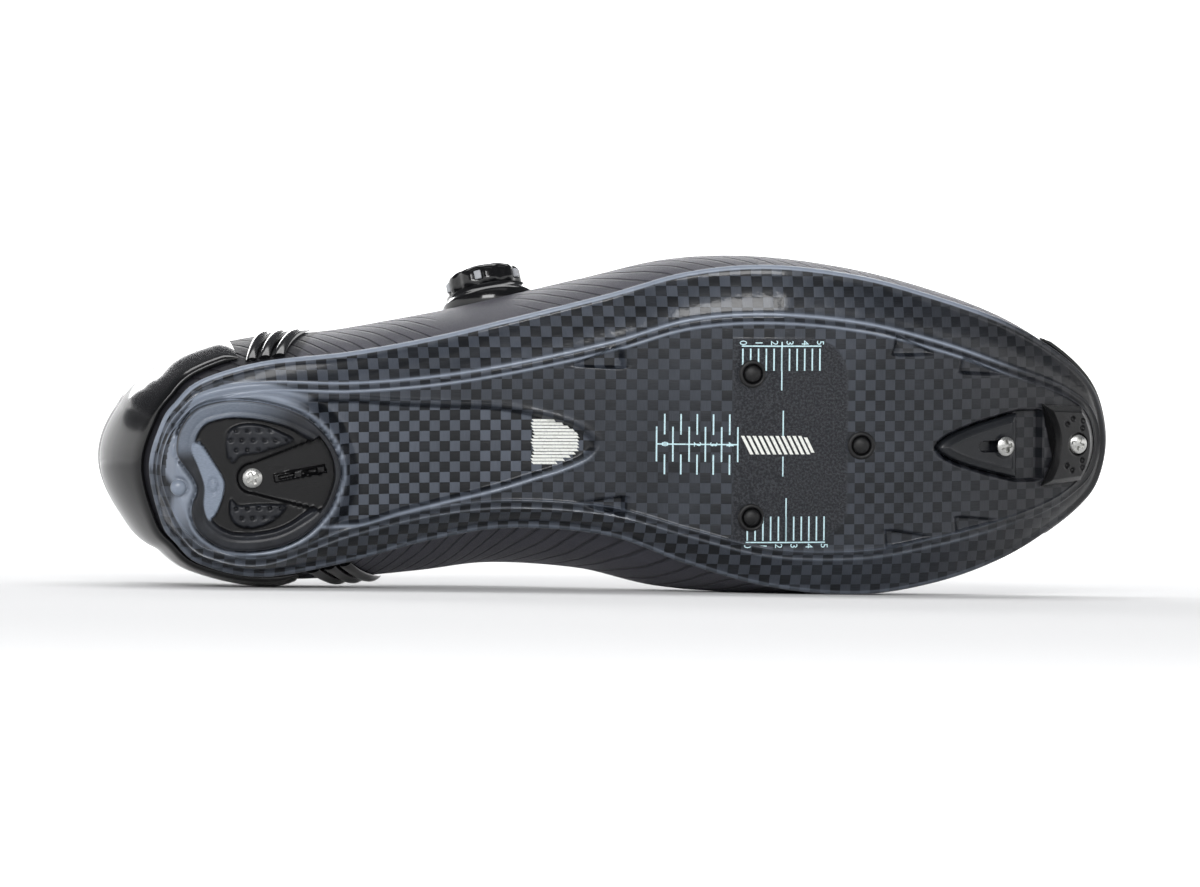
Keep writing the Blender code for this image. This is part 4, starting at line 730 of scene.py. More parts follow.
# the groove colour is painted shade in the grooves
microfibre = {"colour": (0.062, 0.062, 0.078), "grain": (0.045, 0.045, 0.057),
              "pale": (0.085, 0.083, 0.098), "groove": (0.016, 0.016, 0.02), "heel": (0.008, 0.008, 0.010),
              "grooveEvery": 5.3, "grooveWidth": 0.15, "grooveDepth": 0.0005, "slant": 0.62, "wander": 3.0,
              "ballFrom": 196.0, "ballTo": 226.0, "grainDepth": 0.00010, "roughLow": 0.45,
              "roughHigh": 0.65}  # lengths in mm, depths in m


def microfibreFinish():
    n = Nodes("greyMicrofibre")
    place = n.shoePlace()
    x, y, z = n.split(place)
    wander = n.times(n.minus(n.noise(place, 0.05, 1.0), 0.5), microfibre["wander"])
    along = n.plus(n.plus(x, n.times(z, microfibre["slant"])), wander)
    phase = n.math("FRACT", n.math("DIVIDE", along, microfibre["grooveEvery"]))
    off = n.math("ABSOLUTE", n.minus(phase, 0.5))
    groove = n.inverse(n.between(off, 0.0, microfibre["grooveWidth"]))
    behindBall = n.inverse(n.between(x, microfibre["ballFrom"], microfibre["ballTo"]))
    roundDial = n.times(n.between(x, 78.0, 84.0), n.inverse(n.between(x, 104.0, 110.0)))
    roundDial = n.times(roundDial, n.inverse(n.between(y, -12.0, -4.0)))
    groove = n.times(n.times(groove, behindBall), n.inverse(roundDial))
    grain = n.noise(place, 2.6, 4.0, 0.65)
    tone = n.colour(n.between(grain, 0.3, 0.75), microfibre["grain"], microfibre["colour"])
    tone = n.colour(n.times(n.noise(place, 0.06, 2.0), 0.5), tone, microfibre["pale"])
    # painted shade darkens the grooves
    base = n.colour(n.times(groove, 0.72), tone, microfibre["groove"])
    heelward = n.inverse(n.between(n.minus(x, n.times(z, 0.32)), 36.0, 37.5))
    base = n.colour(n.times(heelward, 0.85), base, microfibre["heel"])
    normal = n.relief(grain, microfibre["grainDepth"])
    n.relief(n.times(groove, -1.0), microfibre["grooveDepth"], below=normal)
    rough = n.blendOf(n.noise(place, 1.2), microfibre["roughLow"], microfibre["roughHigh"])
    return n.finish(Base_Color=base, Roughness=rough, Specular_IOR_Level=0.22)


def mouldedFinish(name, colour, roughness, grain, depth, coat=0.0, spread=0.08):
    # moulded plastic or rubber: a little grain, uneven gloss and faint wear
    n = Nodes(name)
    place = n.shoePlace()
    fine = n.noise(place, grain, 4.0, 0.6)
    broad = n.noise(place, 0.12, 3.0)
    pale = tuple(min(1.0, c * 1.7 + 0.002) for c in colour)
    base = n.colour(n.times(n.between(broad, 0.35, 0.8), 0.5), colour, pale)
    n.relief(fine, depth)
    rough = n.blendOf(broad, max(roughness - spread, 0.03), roughness + spread)
    return n.finish(Base_Color=base, Roughness=rough, Specular_IOR_Level=0.3, Coat_Weight=coat,
                    Coat_Roughness=0.08)


def liningFinish():
    n = Nodes("liningMesh")
    place = n.shoePlace()
    cells = n.node("TexVoronoi", {"Vector": place, "Scale": 0.75, "Randomness": 0.25},
                   feature="DISTANCE_TO_EDGE").outputs["Distance"]
    thread = n.inverse(n.between(cells, 0.02, 0.20))
    fuzz = n.noise(place, 4.0, 3.0)
    base = n.colour(thread, (0.012, 0.012, 0.014), (0.05, 0.05, 0.056))
    base = n.colour(n.times(fuzz, 0.3), base, (0.075, 0.075, 0.08))
    n.relief(n.plus(thread, n.times(fuzz, 0.4)), 0.0003)
    return n.finish(Base_Color=base, Roughness=0.85, Sheen_Weight=0.25, Sheen_Roughness=0.4)


def steelFinish():
    n = Nodes("brightSteel")
    place = n.shoePlace()
    scratch = n.noise(n.stretch(place, (9.0, 1.0, 1.0)), 1.0, 4.0)
    base = n.colour(scratch, (0.36, 0.36, 0.35), (0.62, 0.62, 0.60))
    n.relief(scratch, 0.00004)
    return n.finish(Base_Color=base, Roughness=n.blendOf(scratch, 0.2, 0.38), Metallic=1.0)


def padFinish():
    n = Nodes("satinPad")
    place = n.shoePlace()
    strokes = n.noise(n.stretch(place, (1.0, 5.0, 1.0)), 1.0, 4.0)
    broad = n.between(n.noise(place, 0.2), 0.3, 0.8)
    satin = n.colour(broad, (0.008, 0.009, 0.012), (0.017, 0.019, 0.024))
    # pale streaks on the pad's lip, and a painted highlight along its edge on the heel's outer side
    pale = n.colour(strokes, (0.10, 0.125, 0.165), (0.26, 0.30, 0.37))
    base = n.colour(n.attribute("lipShare"), satin, pale)
    # painted shade: near black deep in the pad's well and channel
    base = n.colour(n.attribute("bowlShare"), base, (0.002, 0.002, 0.0025))
    n.relief(strokes, 0.00005)
    return n.finish(Base_Color=base, Roughness=0.36, Specular_IOR_Level=0.25, Coat_Weight=0.1,
                    Coat_Roughness=0.15)


def inkFinish(name, colour):
    n = Nodes(name)
    place = n.shoePlace()
    worn = n.between(n.noise(place, 1.6, 3.0, 0.7), 0.28, 0.5)
    base = n.colour(worn, tuple(c * 0.62 for c in colour), colour)
    n.relief(n.noise(place, 5.0), 0.00004)
    return n.finish(Base_Color=base, Roughness=0.5)


def cordFinish():
    n = Nodes("coatedCord")
    place = n.shoePlace()
    lays = n.node("TexWave", {"Vector": place, "Scale": 0.9, "Distortion": 0.6},
                  bands_direction="DIAGONAL").outputs["Fac"]
    base = n.colour(lays, (0.02, 0.02, 0.023), (0.07, 0.07, 0.075))
    n.relief(lays, 0.00012)
    return n.finish(Base_Color=base, Roughness=0.42)


finishes = {
    "carbon": carbonFinish(), "microfibre": microfibreFinish(), "lining": liningFinish(),
    "gloss": mouldedFinish("glossBlackPlastic", (0.004, 0.004, 0.0045), 0.15, 0.3, 0.00002, coat=0.3,
                           spread=0.03),
    "matte": mouldedFinish("matteBlackPlastic", (0.006, 0.006, 0.0065), 0.42, 2.5, 0.00006),
    "urethane": mouldedFinish("satinUrethane", (0.007, 0.008, 0.010), 0.32, 1.8, 0.00005, coat=0.2),
    "pad": padFinish(),
    "rubber": mouldedFinish("blackRubber", (0.006, 0.006, 0.0065), 0.36, 2.0, 0.00007, coat=0.2),
    "paleResin": mouldedFinish("paleResin", (0.17, 0.20, 0.25), 0.3, 1.5, 0.00004, coat=0.3),
    "nub": mouldedFinish("paleNub", (0.36, 0.37, 0.39), 0.45, 2.0, 0.00005),
    "steel": steelFinish(), "cord": cordFinish(),
    "ink": inkFinish("paleInk", (0.52, 0.72, 0.77)), "whiteInk": inkFinish("whiteInk", (0.74, 0.75, 0.71)),
}
print("materials made")

fit("solePlate", soleBody(), "carbon", ["sole_plate"], sharp=60)
print("sole made")

# Upper: one hollow shell with flex creases over the ball

crease = namedtuple("crease", "x slant half depth")  # in millimetres
creases = [crease(150, 0.25, 3.2, 0.7), crease(166, 0.10, 3.6, 0.9), crease(181, -0.10, 3.2, 0.6)]


def creaseDepth(place, high):
    fade = clamped((high - 0.25) / 0.3) * clamped((1.02 - high) / 0.1)
    total = 0.0
    for row in creases:
        off = (place.x / mm - row.x - row.slant * abs(place.y / mm)) / row.half
        total += row.depth * mm * (bump(off, 0, 1) - 0.45 * bump(abs(off), 1.9, 0.8))  # trough, ridges
    return total * fade


def upperBody():
    wall = upper["wall"]
    outer = [(h, 0.0) for h in steps(0, 1, 52)]
    roll = [(1.0 + 0.008 * math.sin(a), -wall * (1 - math.cos(a)) / 2) for a in steps(0, math.pi, 8)[1:-1]]
    inner = [(h, -wall) for h in steps(1, 0, 14)]

    def place(around, at):
        high, lift = at
        return upperPoint(around, high, lift - creaseDepth(wallPoint(around, high), high))
    return grid(evenRound(170), outer + roll + inner + [(0.0, 0.0)], place, firstInner=len(outer) + 5)


fit("upperShell", upperBody(), ("microfibre", "lining"), ["upper"], sharp=70)
print("upper made")

# Lining pad inside the collar
collarPad = {"rows": (-6.4, 6.4), "low": 0.52, "high": 0.985, "thick": 3.6 * mm, "clear": 0.25 * mm,
             "seam": 0.55 * mm, "seamAt": 0.36, "seamHalf": 0.03}


def collarPadBody():
    low, high, thick = collarPad["low"], collarPad["high"], collarPad["thick"]
    base = -upper["wall"] - collarPad["clear"]
    first, last = collarPad["rows"]

    def place(around, at):
        share, turn = at
        ends = max(0.05, math.sin(math.pi * (around - first) / (last - first))) ** 0.25
        bulge = thick * ends * math.sin(math.pi * share) ** 0.45
        seam = collarPad["seam"] * bump(share, collarPad["seamAt"], collarPad["seamHalf"]) * ends
        return upperPoint(around, low + (high - low) * share, base - (bulge - seam if turn else 0))
    ring = [(s, 1) for s in steps(0, 1, 36)] + [(1.0, 0), (0.66, 0), (0.33, 0), (0.0, 0), (0.0, 1)]
    return closeEnds(grid(steps(first, last, 150), ring, place))


fit("collarLining", collarPadBody(), "lining", sharp=80)

# Insole and tongue
insole = {"thick": 3 * mm, "edge": 0.93, "heel": 0.8, "toe": tip - 1.3, "clear": 2.5 * gap,
          "round": 0.5 * mm}


def insoleBody():
    low, high = insole["clear"], insole["clear"] + insole["thick"]
    edge, middle, shoulder = insole["edge"], (low + high) / 2, high - insole["round"]
    ring = [(c, high) for c in steps(-edge + 0.03, edge - 0.03, 28)]
    ring += [(edge - 0.01, shoulder), (edge, middle), (edge - 0.01, low)]
    ring += [(c, low) for c in steps(edge - 0.03, -edge + 0.03, 14)]
    ring += [(-edge + 0.01, low), (-edge, middle), (-edge + 0.01, shoulder), ring[0]]
    return closeEnds(grid(steps(insole["heel"], insole["toe"], 150), ring,
                          lambda station, at: footbedPoint(station, *at)))


fit("insoleSheet", insoleBody(), "lining", ["insole"], sharp=60)

tongue = {"thick": 3.5 * mm, "reach": 21 * mm, "topRow": 7.2, "endRow": 16.6, "open": 0.55, "wing": 0.16,
          "crown": 0.06, "clear": 0.45 * mm, "channel": 0.5 * mm, "channels": (0.22, 0.72),
          "channelHalf": 0.035}


def tonguePoint(station, across, lift):  # stations before topRow are the free end over the throat
    at = max(station, tongue["topRow"])
    above = at - station
    across *= 1 - 0.45 * min(1.0, 3 * above)
    deep = lift - upper["wall"] - 2 * tongue["clear"]
    wing = max(abs(across) - tongue["open"], 0) / (1 - tongue["open"])
    around = at if across < 0 else loop - at
    if wing > 0:
        place = upperPoint(around, 1 - tongue["wing"] * wing, deep)
    else:
        outer, inner = upperPoint(at, 1.0, deep), upperPoint(loop - at, 1.0, deep)
        share = (across / tongue["open"] + 1) / 2
        place = outer.lerp(inner, share)
        place.z += tongue["crown"] * (inner.y - outer.y) * 4 * share * (1 - share)
    place = place + Vector((-0.85 + 0.3 * above, 0, 0.45 + 0.35 * above)) * above * tongue["reach"]
    place.y *= 1 - 0.62 * above + 0.36 * above**2
    return place


def tongueBody():
    thick = tongue["thick"]

    def lifts(c):
        edge = (1 - min(1.0, abs(c)) ** 6) ** 0.5
        stitched = sum(bump(abs(c), at, tongue["channelHalf"]) for at in tongue["channels"])
        return -thick / 2 + (thick / 2 - tongue["channel"] * stitched) * edge

    face = [(c, lifts(c)) for c in steps(-1, 1, 56)]
    back = [(c, -thick - lifts(c)) for c in steps(1, -1, 28)]
    first = tongue["topRow"] - 1
    stations = steps(first, tongue["topRow"], 26) + steps(tongue["topRow"], tongue["endRow"], 110)[1:]

    def place(station, at):
        across, lift = at
        lip = clamped((station - first) / 0.06) ** 0.5
        return tonguePoint(station, across, -thick / 2 + (lift + thick / 2) * max(lip, 0.15))
    return closeEnds(grid(stations, face + back + [face[0]], place))


fit("tonguePad", tongueBody(), "lining", ["tongue"], sharp=80)
print("soft parts made")

# Heel cup, ribs and toe guard on the upper
cup = {"ends": (-4.46, 3.70), "top": 0.46, "arm": (0.05, 0.52), "foot": 0.03, "thick": 1.6 * mm,
       "clear": 0.45 * mm, "rounding": 0.07, "step": 0.35 * mm, "stepAt": 0.80, "stepHalf": 0.035}
ribs = {"outer": (3.86, 4.04, 4.22), "inner": (-4.62, -4.80, -4.98), "foot": 0.035, "top": 0.52, "lean": 0.9,
        "half": 0.078, "thick": 1.9 * mm}
guard = {"ends": (13.75, 20.25), "top": 0.20, "thick": 1.1 * mm, "rounding": 0.12}


def thinned(along, start):  # how thick a strip is towards its ends
    return max(min(1.0, (1 - along) / (1 - start)) ** 0.5, 0.2) if along > start else 1.0


def cupBody():
    first, last = cup["ends"]

    def place(around, at):
        share, lift = at
        along = abs(around / (first if around < 0 else last))
        low = cup["foot"] + cup["arm"][0] * along**3
        high = cup["top"] + (cup["arm"][1] - cup["top"]) * along**2
        step = cup["step"] * bump(share, cup["stepAt"], cup["stepHalf"])
        lift = lift * thinned(along, 0.95) - (step if lift > 0.9 * cup["thick"] else 0)
        return upperPoint(around, low + (high - low) * share, cup["clear"] + lift)
    return closeEnds(grid(steps(first, last, 190), stripSection(cup["thick"], cup["rounding"], 34), place))


def ribBody(row):
    def place(high, at):
        across, lift = at
        share = (high - ribs["foot"]) / (ribs["top"] - ribs["foot"])
        ends = math.sin(math.pi * (0.04 + 0.92 * share)) ** 0.35
        ridge = max(0.0, math.cos(across * math.pi / 2)) ** 0.6
        leaning = ribs["lean"] * (high - ribs["foot"])
        full = lift * (0.15 + 0.85 * ridge) * ends
        station = row + (leaning if row > 0 else -leaning) + across * ribs["half"]
        return upperPoint(station, high, cup["clear"] + full)
    ring = [(a, ribs["thick"]) for a in steps(-1, 1, 14)] + [(1, 0), (0, 0), (-1, 0), (-1, ribs["thick"])]
    return closeEnds(grid(steps(ribs["foot"], ribs["top"], 36), ring, place))


def guardBody():
    first, last = guard["ends"]
    middle, half = (first + last) / 2, (last - first) / 2

    def place(around, at):
        share, lift = at
        along = abs((around - middle) / half)
        top = guard["top"] * (1 - 0.6 * along**3)
        high = cup["foot"] + (top - cup["foot"]) * share
        return upperPoint(around, high, cup["clear"] + lift * thinned(along, 0.94))
    ring = stripSection(guard["thick"], guard["rounding"], 12)
    return closeEnds(grid(steps(first, last, 150), ring, place))


fit("heelCup", cupBody(), "gloss", ["heel_cup"], sharp=60)
for side in ("outer", "inner"):
    for k, row in enumerate(ribs[side]):
        fit(f"heelRib_{side}_{k + 1}", ribBody(row), "gloss",
            [f"heel_rib_{side}_{k + 1}"], sharp=60)
fit("toeGuard", guardBody(), "gloss", ["toe_guard"], sharp=60)
print("heel cup, ribs and guard made")

# Heel pad and toe pieces: discs of relief over an outline


def reliefDisc(outline, centre, rings, height, skirt):
    # a closed block: the face from its centre to the outline at height(x, y, inside), then its side and back
    loopXY = list(outline) + [outline[0]]
    shares = steps(0, 1, rings)
    us = range(len(loopXY))
    xs = np.array([[centre[0] + (p[0] - centre[0]) * s for p in loopXY] for s in shares])
    ys = np.array([[centre[1] + (p[1] - centre[1]) * s for p in loopXY] for s in shares])
    inside = insideOf(xs, ys, outline)
    inside[-1, :] = 0.0
    zs = height(xs, ys, inside)
    last = len(shares) - 1

    def place(u, v):
        row = min(v, last)
        x, y, z = xs[row, u], ys[row, u], zs[row, u]
        if v == last + 1:
            z = skirt(x, y)
        if v == last + 2:
            x, y = centre[0], centre[1]
            z = skirt(x, y)
        return Vector((x, y, z))
    return grid(list(us), list(range(last + 3)), place)


# The heel pad's pale lip, its two grip zones and the bar in its screw channel, in the shoe's millimetres
padLip = {"slope": 0.7 * mm, "height": 0.12 * mm, "oval": (16.9 * mm, 11.2 * mm), "ovalShape": (1.3, 2.1),
          "ovalRadius": 0.9 * mm, "ovalLine": 0.28 * mm, "ovalDepth": 0.45 * mm, "outline": [
              (10.8, 0.5), (12.8, 5.6), (14.6, 11.2), (14.4, 16.4), (15.6, 20.3), (17.3, 19.6),
              (18.9, 16.6), (20.0, 12.6), (19.8, 9.3), (17.0, 4.6), (13.2, -0.8)]}
gripZones = [
    [(20.6, 3.2), (20.4, -2.4), (22.2, -5.0), (26, -6.1), (31, -5.6), (37.0, -3.2), (39.5, -1.0),
     (33.5, 1.4), (29.0, 2.6), (24.8, 3.2), (22.6, 5.2)],
    [(21.6, 14.4), (24.0, 16.4), (28.0, 16.2), (34.0, 16.2), (37.5, 17.0), (34.5, 20.8), (29.0, 23.2),
     (24.6, 23.0), (21.4, 20.0)]]
grip = {"rise": 1.0 * mm, "slope": 0.8 * mm, "pitchX": 3.1 * mm, "pitchY": 2.7 * mm, "dimple": 0.75 * mm,
        "dimpleSlope": 0.4 * mm, "dimpleDepth": 0.7 * mm}
padBar = {"from": (34.0, 9.4), "to": (48.3, 6.7), "half": 1.25 * mm, "rise": 1.3 * mm, "slotEvery": 6.4 * mm,
          "slotAt": 3.4 * mm, "slotLong": 2.2 * mm, "slotHalf": 0.6 * mm, "slotDepth": 1.2 * mm}


def curveInMm(points, samples):
    return closedCurve([(x * mm, y * mm) for x, y in points], samples)


lipCurve = curveInMm(padLip["outline"], 44)
gripCurves = [curveInMm(zone, 48) for zone in gripZones]


def padHeight(x, y, inside):  # the pad's face over the deck's plane, positive up into the shoe
    edge = heelPad["edge"]
    z = edge * (1 - np.sqrt(1 - (1 - np.clip(inside / edge, 0, 1)) ** 2))
    ringWidth = heelPad["ring"] + (heelPad["toeRing"] - heelPad["ring"]) * ease((x - 40 * mm) / (8 * mm))
    low = ease((inside - ringWidth) / heelPad["wellSlope"])
    z = z + heelPad["well"] * low
    z = z + 0.25 * mm * bump(inside, ringWidth * 0.72, 0.35 * mm) * (1 - low)
    lip = ease(insideOf(x, y, lipCurve) / padLip["slope"] + 0.3)
    z = z + (padLip["height"] - z) * lip * (inside > edge)
    (ovalX, ovalY), (stretchX, stretchY) = padLip["oval"], padLip["ovalShape"]
    oval = np.hypot((x - ovalX) / stretchX, (y - ovalY) / stretchY)
    z = z + padLip["ovalDepth"] * bump(oval, padLip["ovalRadius"], padLip["ovalLine"]) * lip
    u, v = x / grip["pitchX"], y / grip["pitchY"]
    u = u + 0.5 * (np.floor(v) % 2)
    dimple = np.hypot((u % 1 - 0.5) * grip["pitchX"], (v % 1 - 0.5) * grip["pitchY"])
    dimple = grip["dimpleDepth"] * ease((grip["dimple"] - dimple) / grip["dimpleSlope"])
    for zone in gripCurves:
        z = z + (dimple - grip["rise"]) * ease(insideOf(x, y, zone) / grip["slope"]) * low
    px, py = heelPad["screw"]
    ahead = np.maximum(x - px, 0)
    off = np.hypot(np.minimum(x - px, 0), y - py + 0.06 * ahead)
    inChannel = ease((heelPad["channel"] + 0.32 * ahead - off) / (0.8 * mm)) * (inside > ringWidth * 0.6)
    z = z + (heelPad["well"] + heelPad["channelDepth"] - z) * inChannel
    (ax, ay), (bx, by) = ((value * mm for value in padBar[key]) for key in ("from", "to"))
    run = math.hypot(bx - ax, by - ay)
    along = ((x - ax) * (bx - ax) + (y - ay) * (by - ay)) / run
    aside = np.abs((x - ax) * (by - ay) - (y - ay) * (bx - ax)) / run
    bar = ease((padBar["half"] - aside) / (0.35 * mm)) * (along > 0) * (along < run) * inChannel
    inSlot = np.abs(along % padBar["slotEvery"] - padBar["slotAt"]) < padBar["slotLong"]
    slots = ease((padBar["slotHalf"] - aside) / (0.3 * mm)) * inSlot
    return z - (padBar["rise"] - padBar["slotDepth"] * slots) * bar


def turnedScrew(origin, rise, angle):
    # pan head with a cross recess, its flat side on origin, turned by angle
    head, tall = screwSize["head"], screwSize["tall"]

    def place(turn, v):
        if v == "back":
            return Vector((0, 0, 0))
        if v == "skirt":
            return Vector((head * math.cos(turn), head * math.sin(turn), 0.0))
        x, y = head * v * math.cos(turn), head * v * math.sin(turn)
        arm = min(abs(x), abs(y)) / head
        cross = clamped((screwSize["arm"] - arm) / 0.06) * clamped((screwSize["reach"] - v) / 0.06)
        return Vector((x, y, tall * (0.45 + 0.55 * (1 - v**2.6) - screwSize["deep"] * cross)))
    bm = grid(steps(0, math.tau, 96), steps(0, 1, 26) + ["skirt", "back"], place)
    bmesh.ops.rotate(bm, verts=bm.verts, cent=(0, 0, 0), matrix=Matrix.Rotation(angle, 3, "Z"))
    return placed(bm, origin, rise)


def heelPadBody():
    top = padDeckZ + heelPad["seatDepth"] - gap
    bm = reliefDisc(padCurve, (30.5 * mm, 8.5 * mm), 74, padHeight, lambda x, y: top)
    x, y, z = np.array([vert.co for vert in bm.verts]).T
    # painted highlight along the pad's edge towards the heel and the outer side
    rim = ease((34 * mm - x - 1.2 * y) / (26 * mm)) * ease((4.5 * mm - y) / (5 * mm))
    rim = rim * ease((top - 1.5 * mm - z) / mm) * ease((0.9 * mm - z) / (0.5 * mm))
    lip = np.maximum(ease(insideOf(x, y, lipCurve) / (0.4 * mm) + 0.8), 0.6 * rim)
    # painted shade deep in the well
    bowlShade = ease((z - 1.4 * mm) / (0.5 * mm))
    for key, shares in (("lipShare", lip), ("bowlShare", bowlShade)):
        layer = bm.verts.layers.float.new(key)
        for vert, share in zip(bm.verts, shares.tolist()):
            vert[layer] = share
    return bm


fit("heelPad", heelPadBody(), "pad", ["heel_pad"], sharp=50)
padScrewSeat = Vector((*heelPad["screw"], heelPad["well"] + heelPad["channelDepth"] - gap))
fit("heelPadScrew", turnedScrew(padScrewSeat, down, 0.5), "steel", ["heel_pad_screw"], sharp=35)


def rivetBody():
    r, tall = rivet["radius"], rivet["height"]
    dome = [(r * math.sin(a), tall * (0.35 + 0.65 * math.cos(a))) for a in steps(0, math.pi / 2, 12)]
    profile = dome + [(r, 0), (0, 0)]
    seat = Vector((rivet["x"], rivet["y"], padDeckZ - heelRing["rise"] + rivet["sunk"] - gap))
    return placed(turned(profile, 40), seat, down)


fit("heelRivet", rivetBody(), "paleResin", ["heel_rivet"], sharp=50)


def sliderPlace(x, y, z):
    # from the slider's own frame, z down out of the sole, to the shoe's
    return sliderStart + sliderAhead * x + Vector((0, y, 0)) - sliderUp * z


def sliderHeight(x, y, inside):
    slope = np.clip(inside / slider["facet"], 0, 1)
    z = slider["proud"] * slope + slider["ridge"] * bump(inside, slider["facet"], slider["lineHalf"])
    z = z - slider["edgeDrop"] * bump(inside, 0, slider["lineHalf"])
    front, back = sliderLength - slider["slotFront"], sliderLength - slider["slotBack"]
    wide = screwSize["shank"] + gap
    off = np.hypot(np.maximum(np.maximum(back + wide - x, x - front + wide), 0), y)
    z = z - slider["slotDepth"] * ease((wide + 0.1 * mm - off) / (0.3 * mm))
    well = np.hypot(x - (front - wide), y)
    return z - slider["well"] * ease((screwSize["head"] + 0.9 * mm - well) / (0.4 * mm))


arrow = arrowOutline(sliderLength, slider["halfWidth"], count=34)
flatEnd = [(sliderLength, arrow[-1][1] * s) for s in steps(1, -1, 24)[1:-1]]
sliderMesh = reliefDisc([Vector(p) for p in arrow + flatEnd], (sliderLength * 0.62, 0.0), 60, sliderHeight,
                        lambda x, y: -(slider["pocket"] - gap))
for vert in sliderMesh.verts:
    vert.co = sliderPlace(*vert.co)
fit("ventSlider", sliderMesh, "urethane", ["vent_slider"], body="vent_slider", sharp=50)
screwAlong = sliderLength - slider["slotFront"] - screwSize["shank"] - gap
fit("ventSliderScrew", turnedScrew(sliderPlace(screwAlong, 0, slider["proud"] + gap), -sliderUp, 0.2),
    "steel", ["vent_slider_screw"], sharp=35)

bumper = {"startX": 0.9190 * length, "endX": 0.9800 * length, "halfWidth": 11.8 * mm, "bow": 4.2 * mm,
          "height": 3.6 * mm, "well": 1.4 * mm, "screwAlong": 0.55, "dentDepth": 0.8 * mm,
          "dentRadius": 0.9 * mm, "dents": ((0.72, 0.42), (0.80, 0.62), (0.55, 0.66), (0.35, 0.52))}


def bumperPoint(along, across, lift):
    back = bumper["startX"] + bumper["bow"] * (1 - across**2)
    front = bumper["endX"] - bumper["bow"] * across**2
    x = back + (front - back) * along
    y = slider["y"] + across * bumper["halfWidth"] * (1.0 - 0.10 * along)
    full = min(1.0, 0.35 + 4.0 * (1 - abs(across)), 0.35 + 5.0 * along, 0.35 + 5.0 * (1 - along))
    return Vector((x, y, float(deckZ(x)) - gap - lift * full))


def bumperScrewSeat():
    middle = bumperPoint(bumper["screwAlong"], 0, bumper["height"])
    return middle + up * bumper["well"]


def bumperBody():
    seat = bumperScrewSeat()
    dents = [bumperPoint(a, c * side, bumper["height"]) for side in (1, -1) for a, c in bumper["dents"]]

    def place(along, at):
        across, side = at
        p = bumperPoint(along, across, bumper["height"] if side else 0.0)
        if side:
            off = math.hypot(p.x - seat.x, p.y - seat.y)
            well = float(ease((screwSize["head"] + 0.6 * mm - off) / (0.5 * mm)))
            p.z += (bumper["well"] + gap) * well
            for dent in dents:
                off = math.hypot(p.x - dent.x, p.y - dent.y)
                p.z += bumper["dentDepth"] * float(ease((bumper["dentRadius"] - off) / (0.4 * mm)))
        return p
    ring = [(c, 1) for c in steps(-1, 1, 72)] + [(c, 0) for c in steps(1, -1, 12)] + [(-1, 1)]
    return closeEnds(grid(steps(0, 1, 52), ring, place))


fit("toeBumper", bumperBody(), "rubber", ["toe_bumper"], sharp=50)
fit("toeBumperScrew", turnedScrew(bumperScrewSeat() + down * gap, down, -0.3), "steel",
    ["toe_bumper_screw"], sharp=35)


def insertBody(place):
    r = cleats["radius"]
    rings = [(0, -0.6), (0.9, -0.6), (1.08, -0.1), (1.10, 0.10), (1.02, 0.38), (0.92, 0.50), (0.82, 0.42),
             (0.76, 0.1), (0.74, -0.5), (0.70, -0.6), (0.68, -0.3)]  # share of the radius, height in mm
    profile = [(r * share, high * mm) for share, high in rings]
    profile += [(r * 0.67 * math.cos(a), (1.1 * math.sin(a) - 0.1) * mm) for a in steps(0.1, math.pi / 2, 8)]
    return placed(turned(profile, 48), Vector((place.x, place.y, float(deckZ(place.x)))), down)


for k, hole in enumerate(cleatPlaces()):
    name = f"cleatInsert_{k + 1}"
    fit(name, insertBody(hole), "matte", [f"cleat_insert_{k + 1}"], sharp=50)
print("pads, screws and inserts made")

# Dial: a fixed base and the knob that turns on it
dial = {"row": 7.18, "up": 0.64, "radius": 10.8 * mm, "height": 6.2 * mm, "baseRadius": 13.5 * mm,
        "baseHeight": 4.2 * mm, "grips": 10, "bite": 0.075, "nubs": 5,
        "nubSize": (1.1 * mm, 2.0 * mm, 2.6 * mm)}
dialPlace, dialOut, dialAlong = onWall(dial["row"], dial["up"])


def dialBaseBody():
    r, tall = dial["baseRadius"], dial["baseHeight"]
    rings = [(1, 0.30), (0.985, 0.42), (0.95, 0.55), (0.90, 0.72), (0.885, 0.95), (0.86, 1), (0.70, 1),
             (0, 1)]
    profile = [(0, -2.2 * mm), (r * 0.98, -2.2 * mm), (r, -1.6 * mm)]
    profile += [(r * share, tall * high) for share, high in rings]
    return placed(turned(profile, 72), dialPlace, dialOut, dialAlong)


def knobBody():
    foot, r, tall = dial["baseHeight"] + gap, dial["radius"], dial["height"]
    profile = [(0.0, 0.0), (0.86, 0.0), (0.95, 0.03), (1.0, 0.14), (1.0, 0.30), (1.0, 0.50), (1.0, 0.66),
               (0.985, 0.76), (0.94, 0.86), (0.88, 0.93), (0.80, 0.97), (0.72, 0.985), (0.69, 0.92),
               (0.66, 0.90), (0.63, 0.95), (0.60, 1.0), (0.40, 1.0), (0.0, 1.0)]

    def place(turn, at):
        share, high = at
        tooth = max(0.0, 0.5 + 0.5 * math.cos(turn * dial["grips"])) ** 1.6
        bite = dial["bite"] * tooth * max(0.0, 1 - ((high - 0.42) / 0.5) ** 4) * (share > 0.8)
        out = r * (share - bite)
        return Vector((out * math.cos(turn), out * math.sin(turn), foot + tall * high))
    return placed(grid(steps(0, math.tau, 160), profile, place), dialPlace, dialOut, dialAlong)


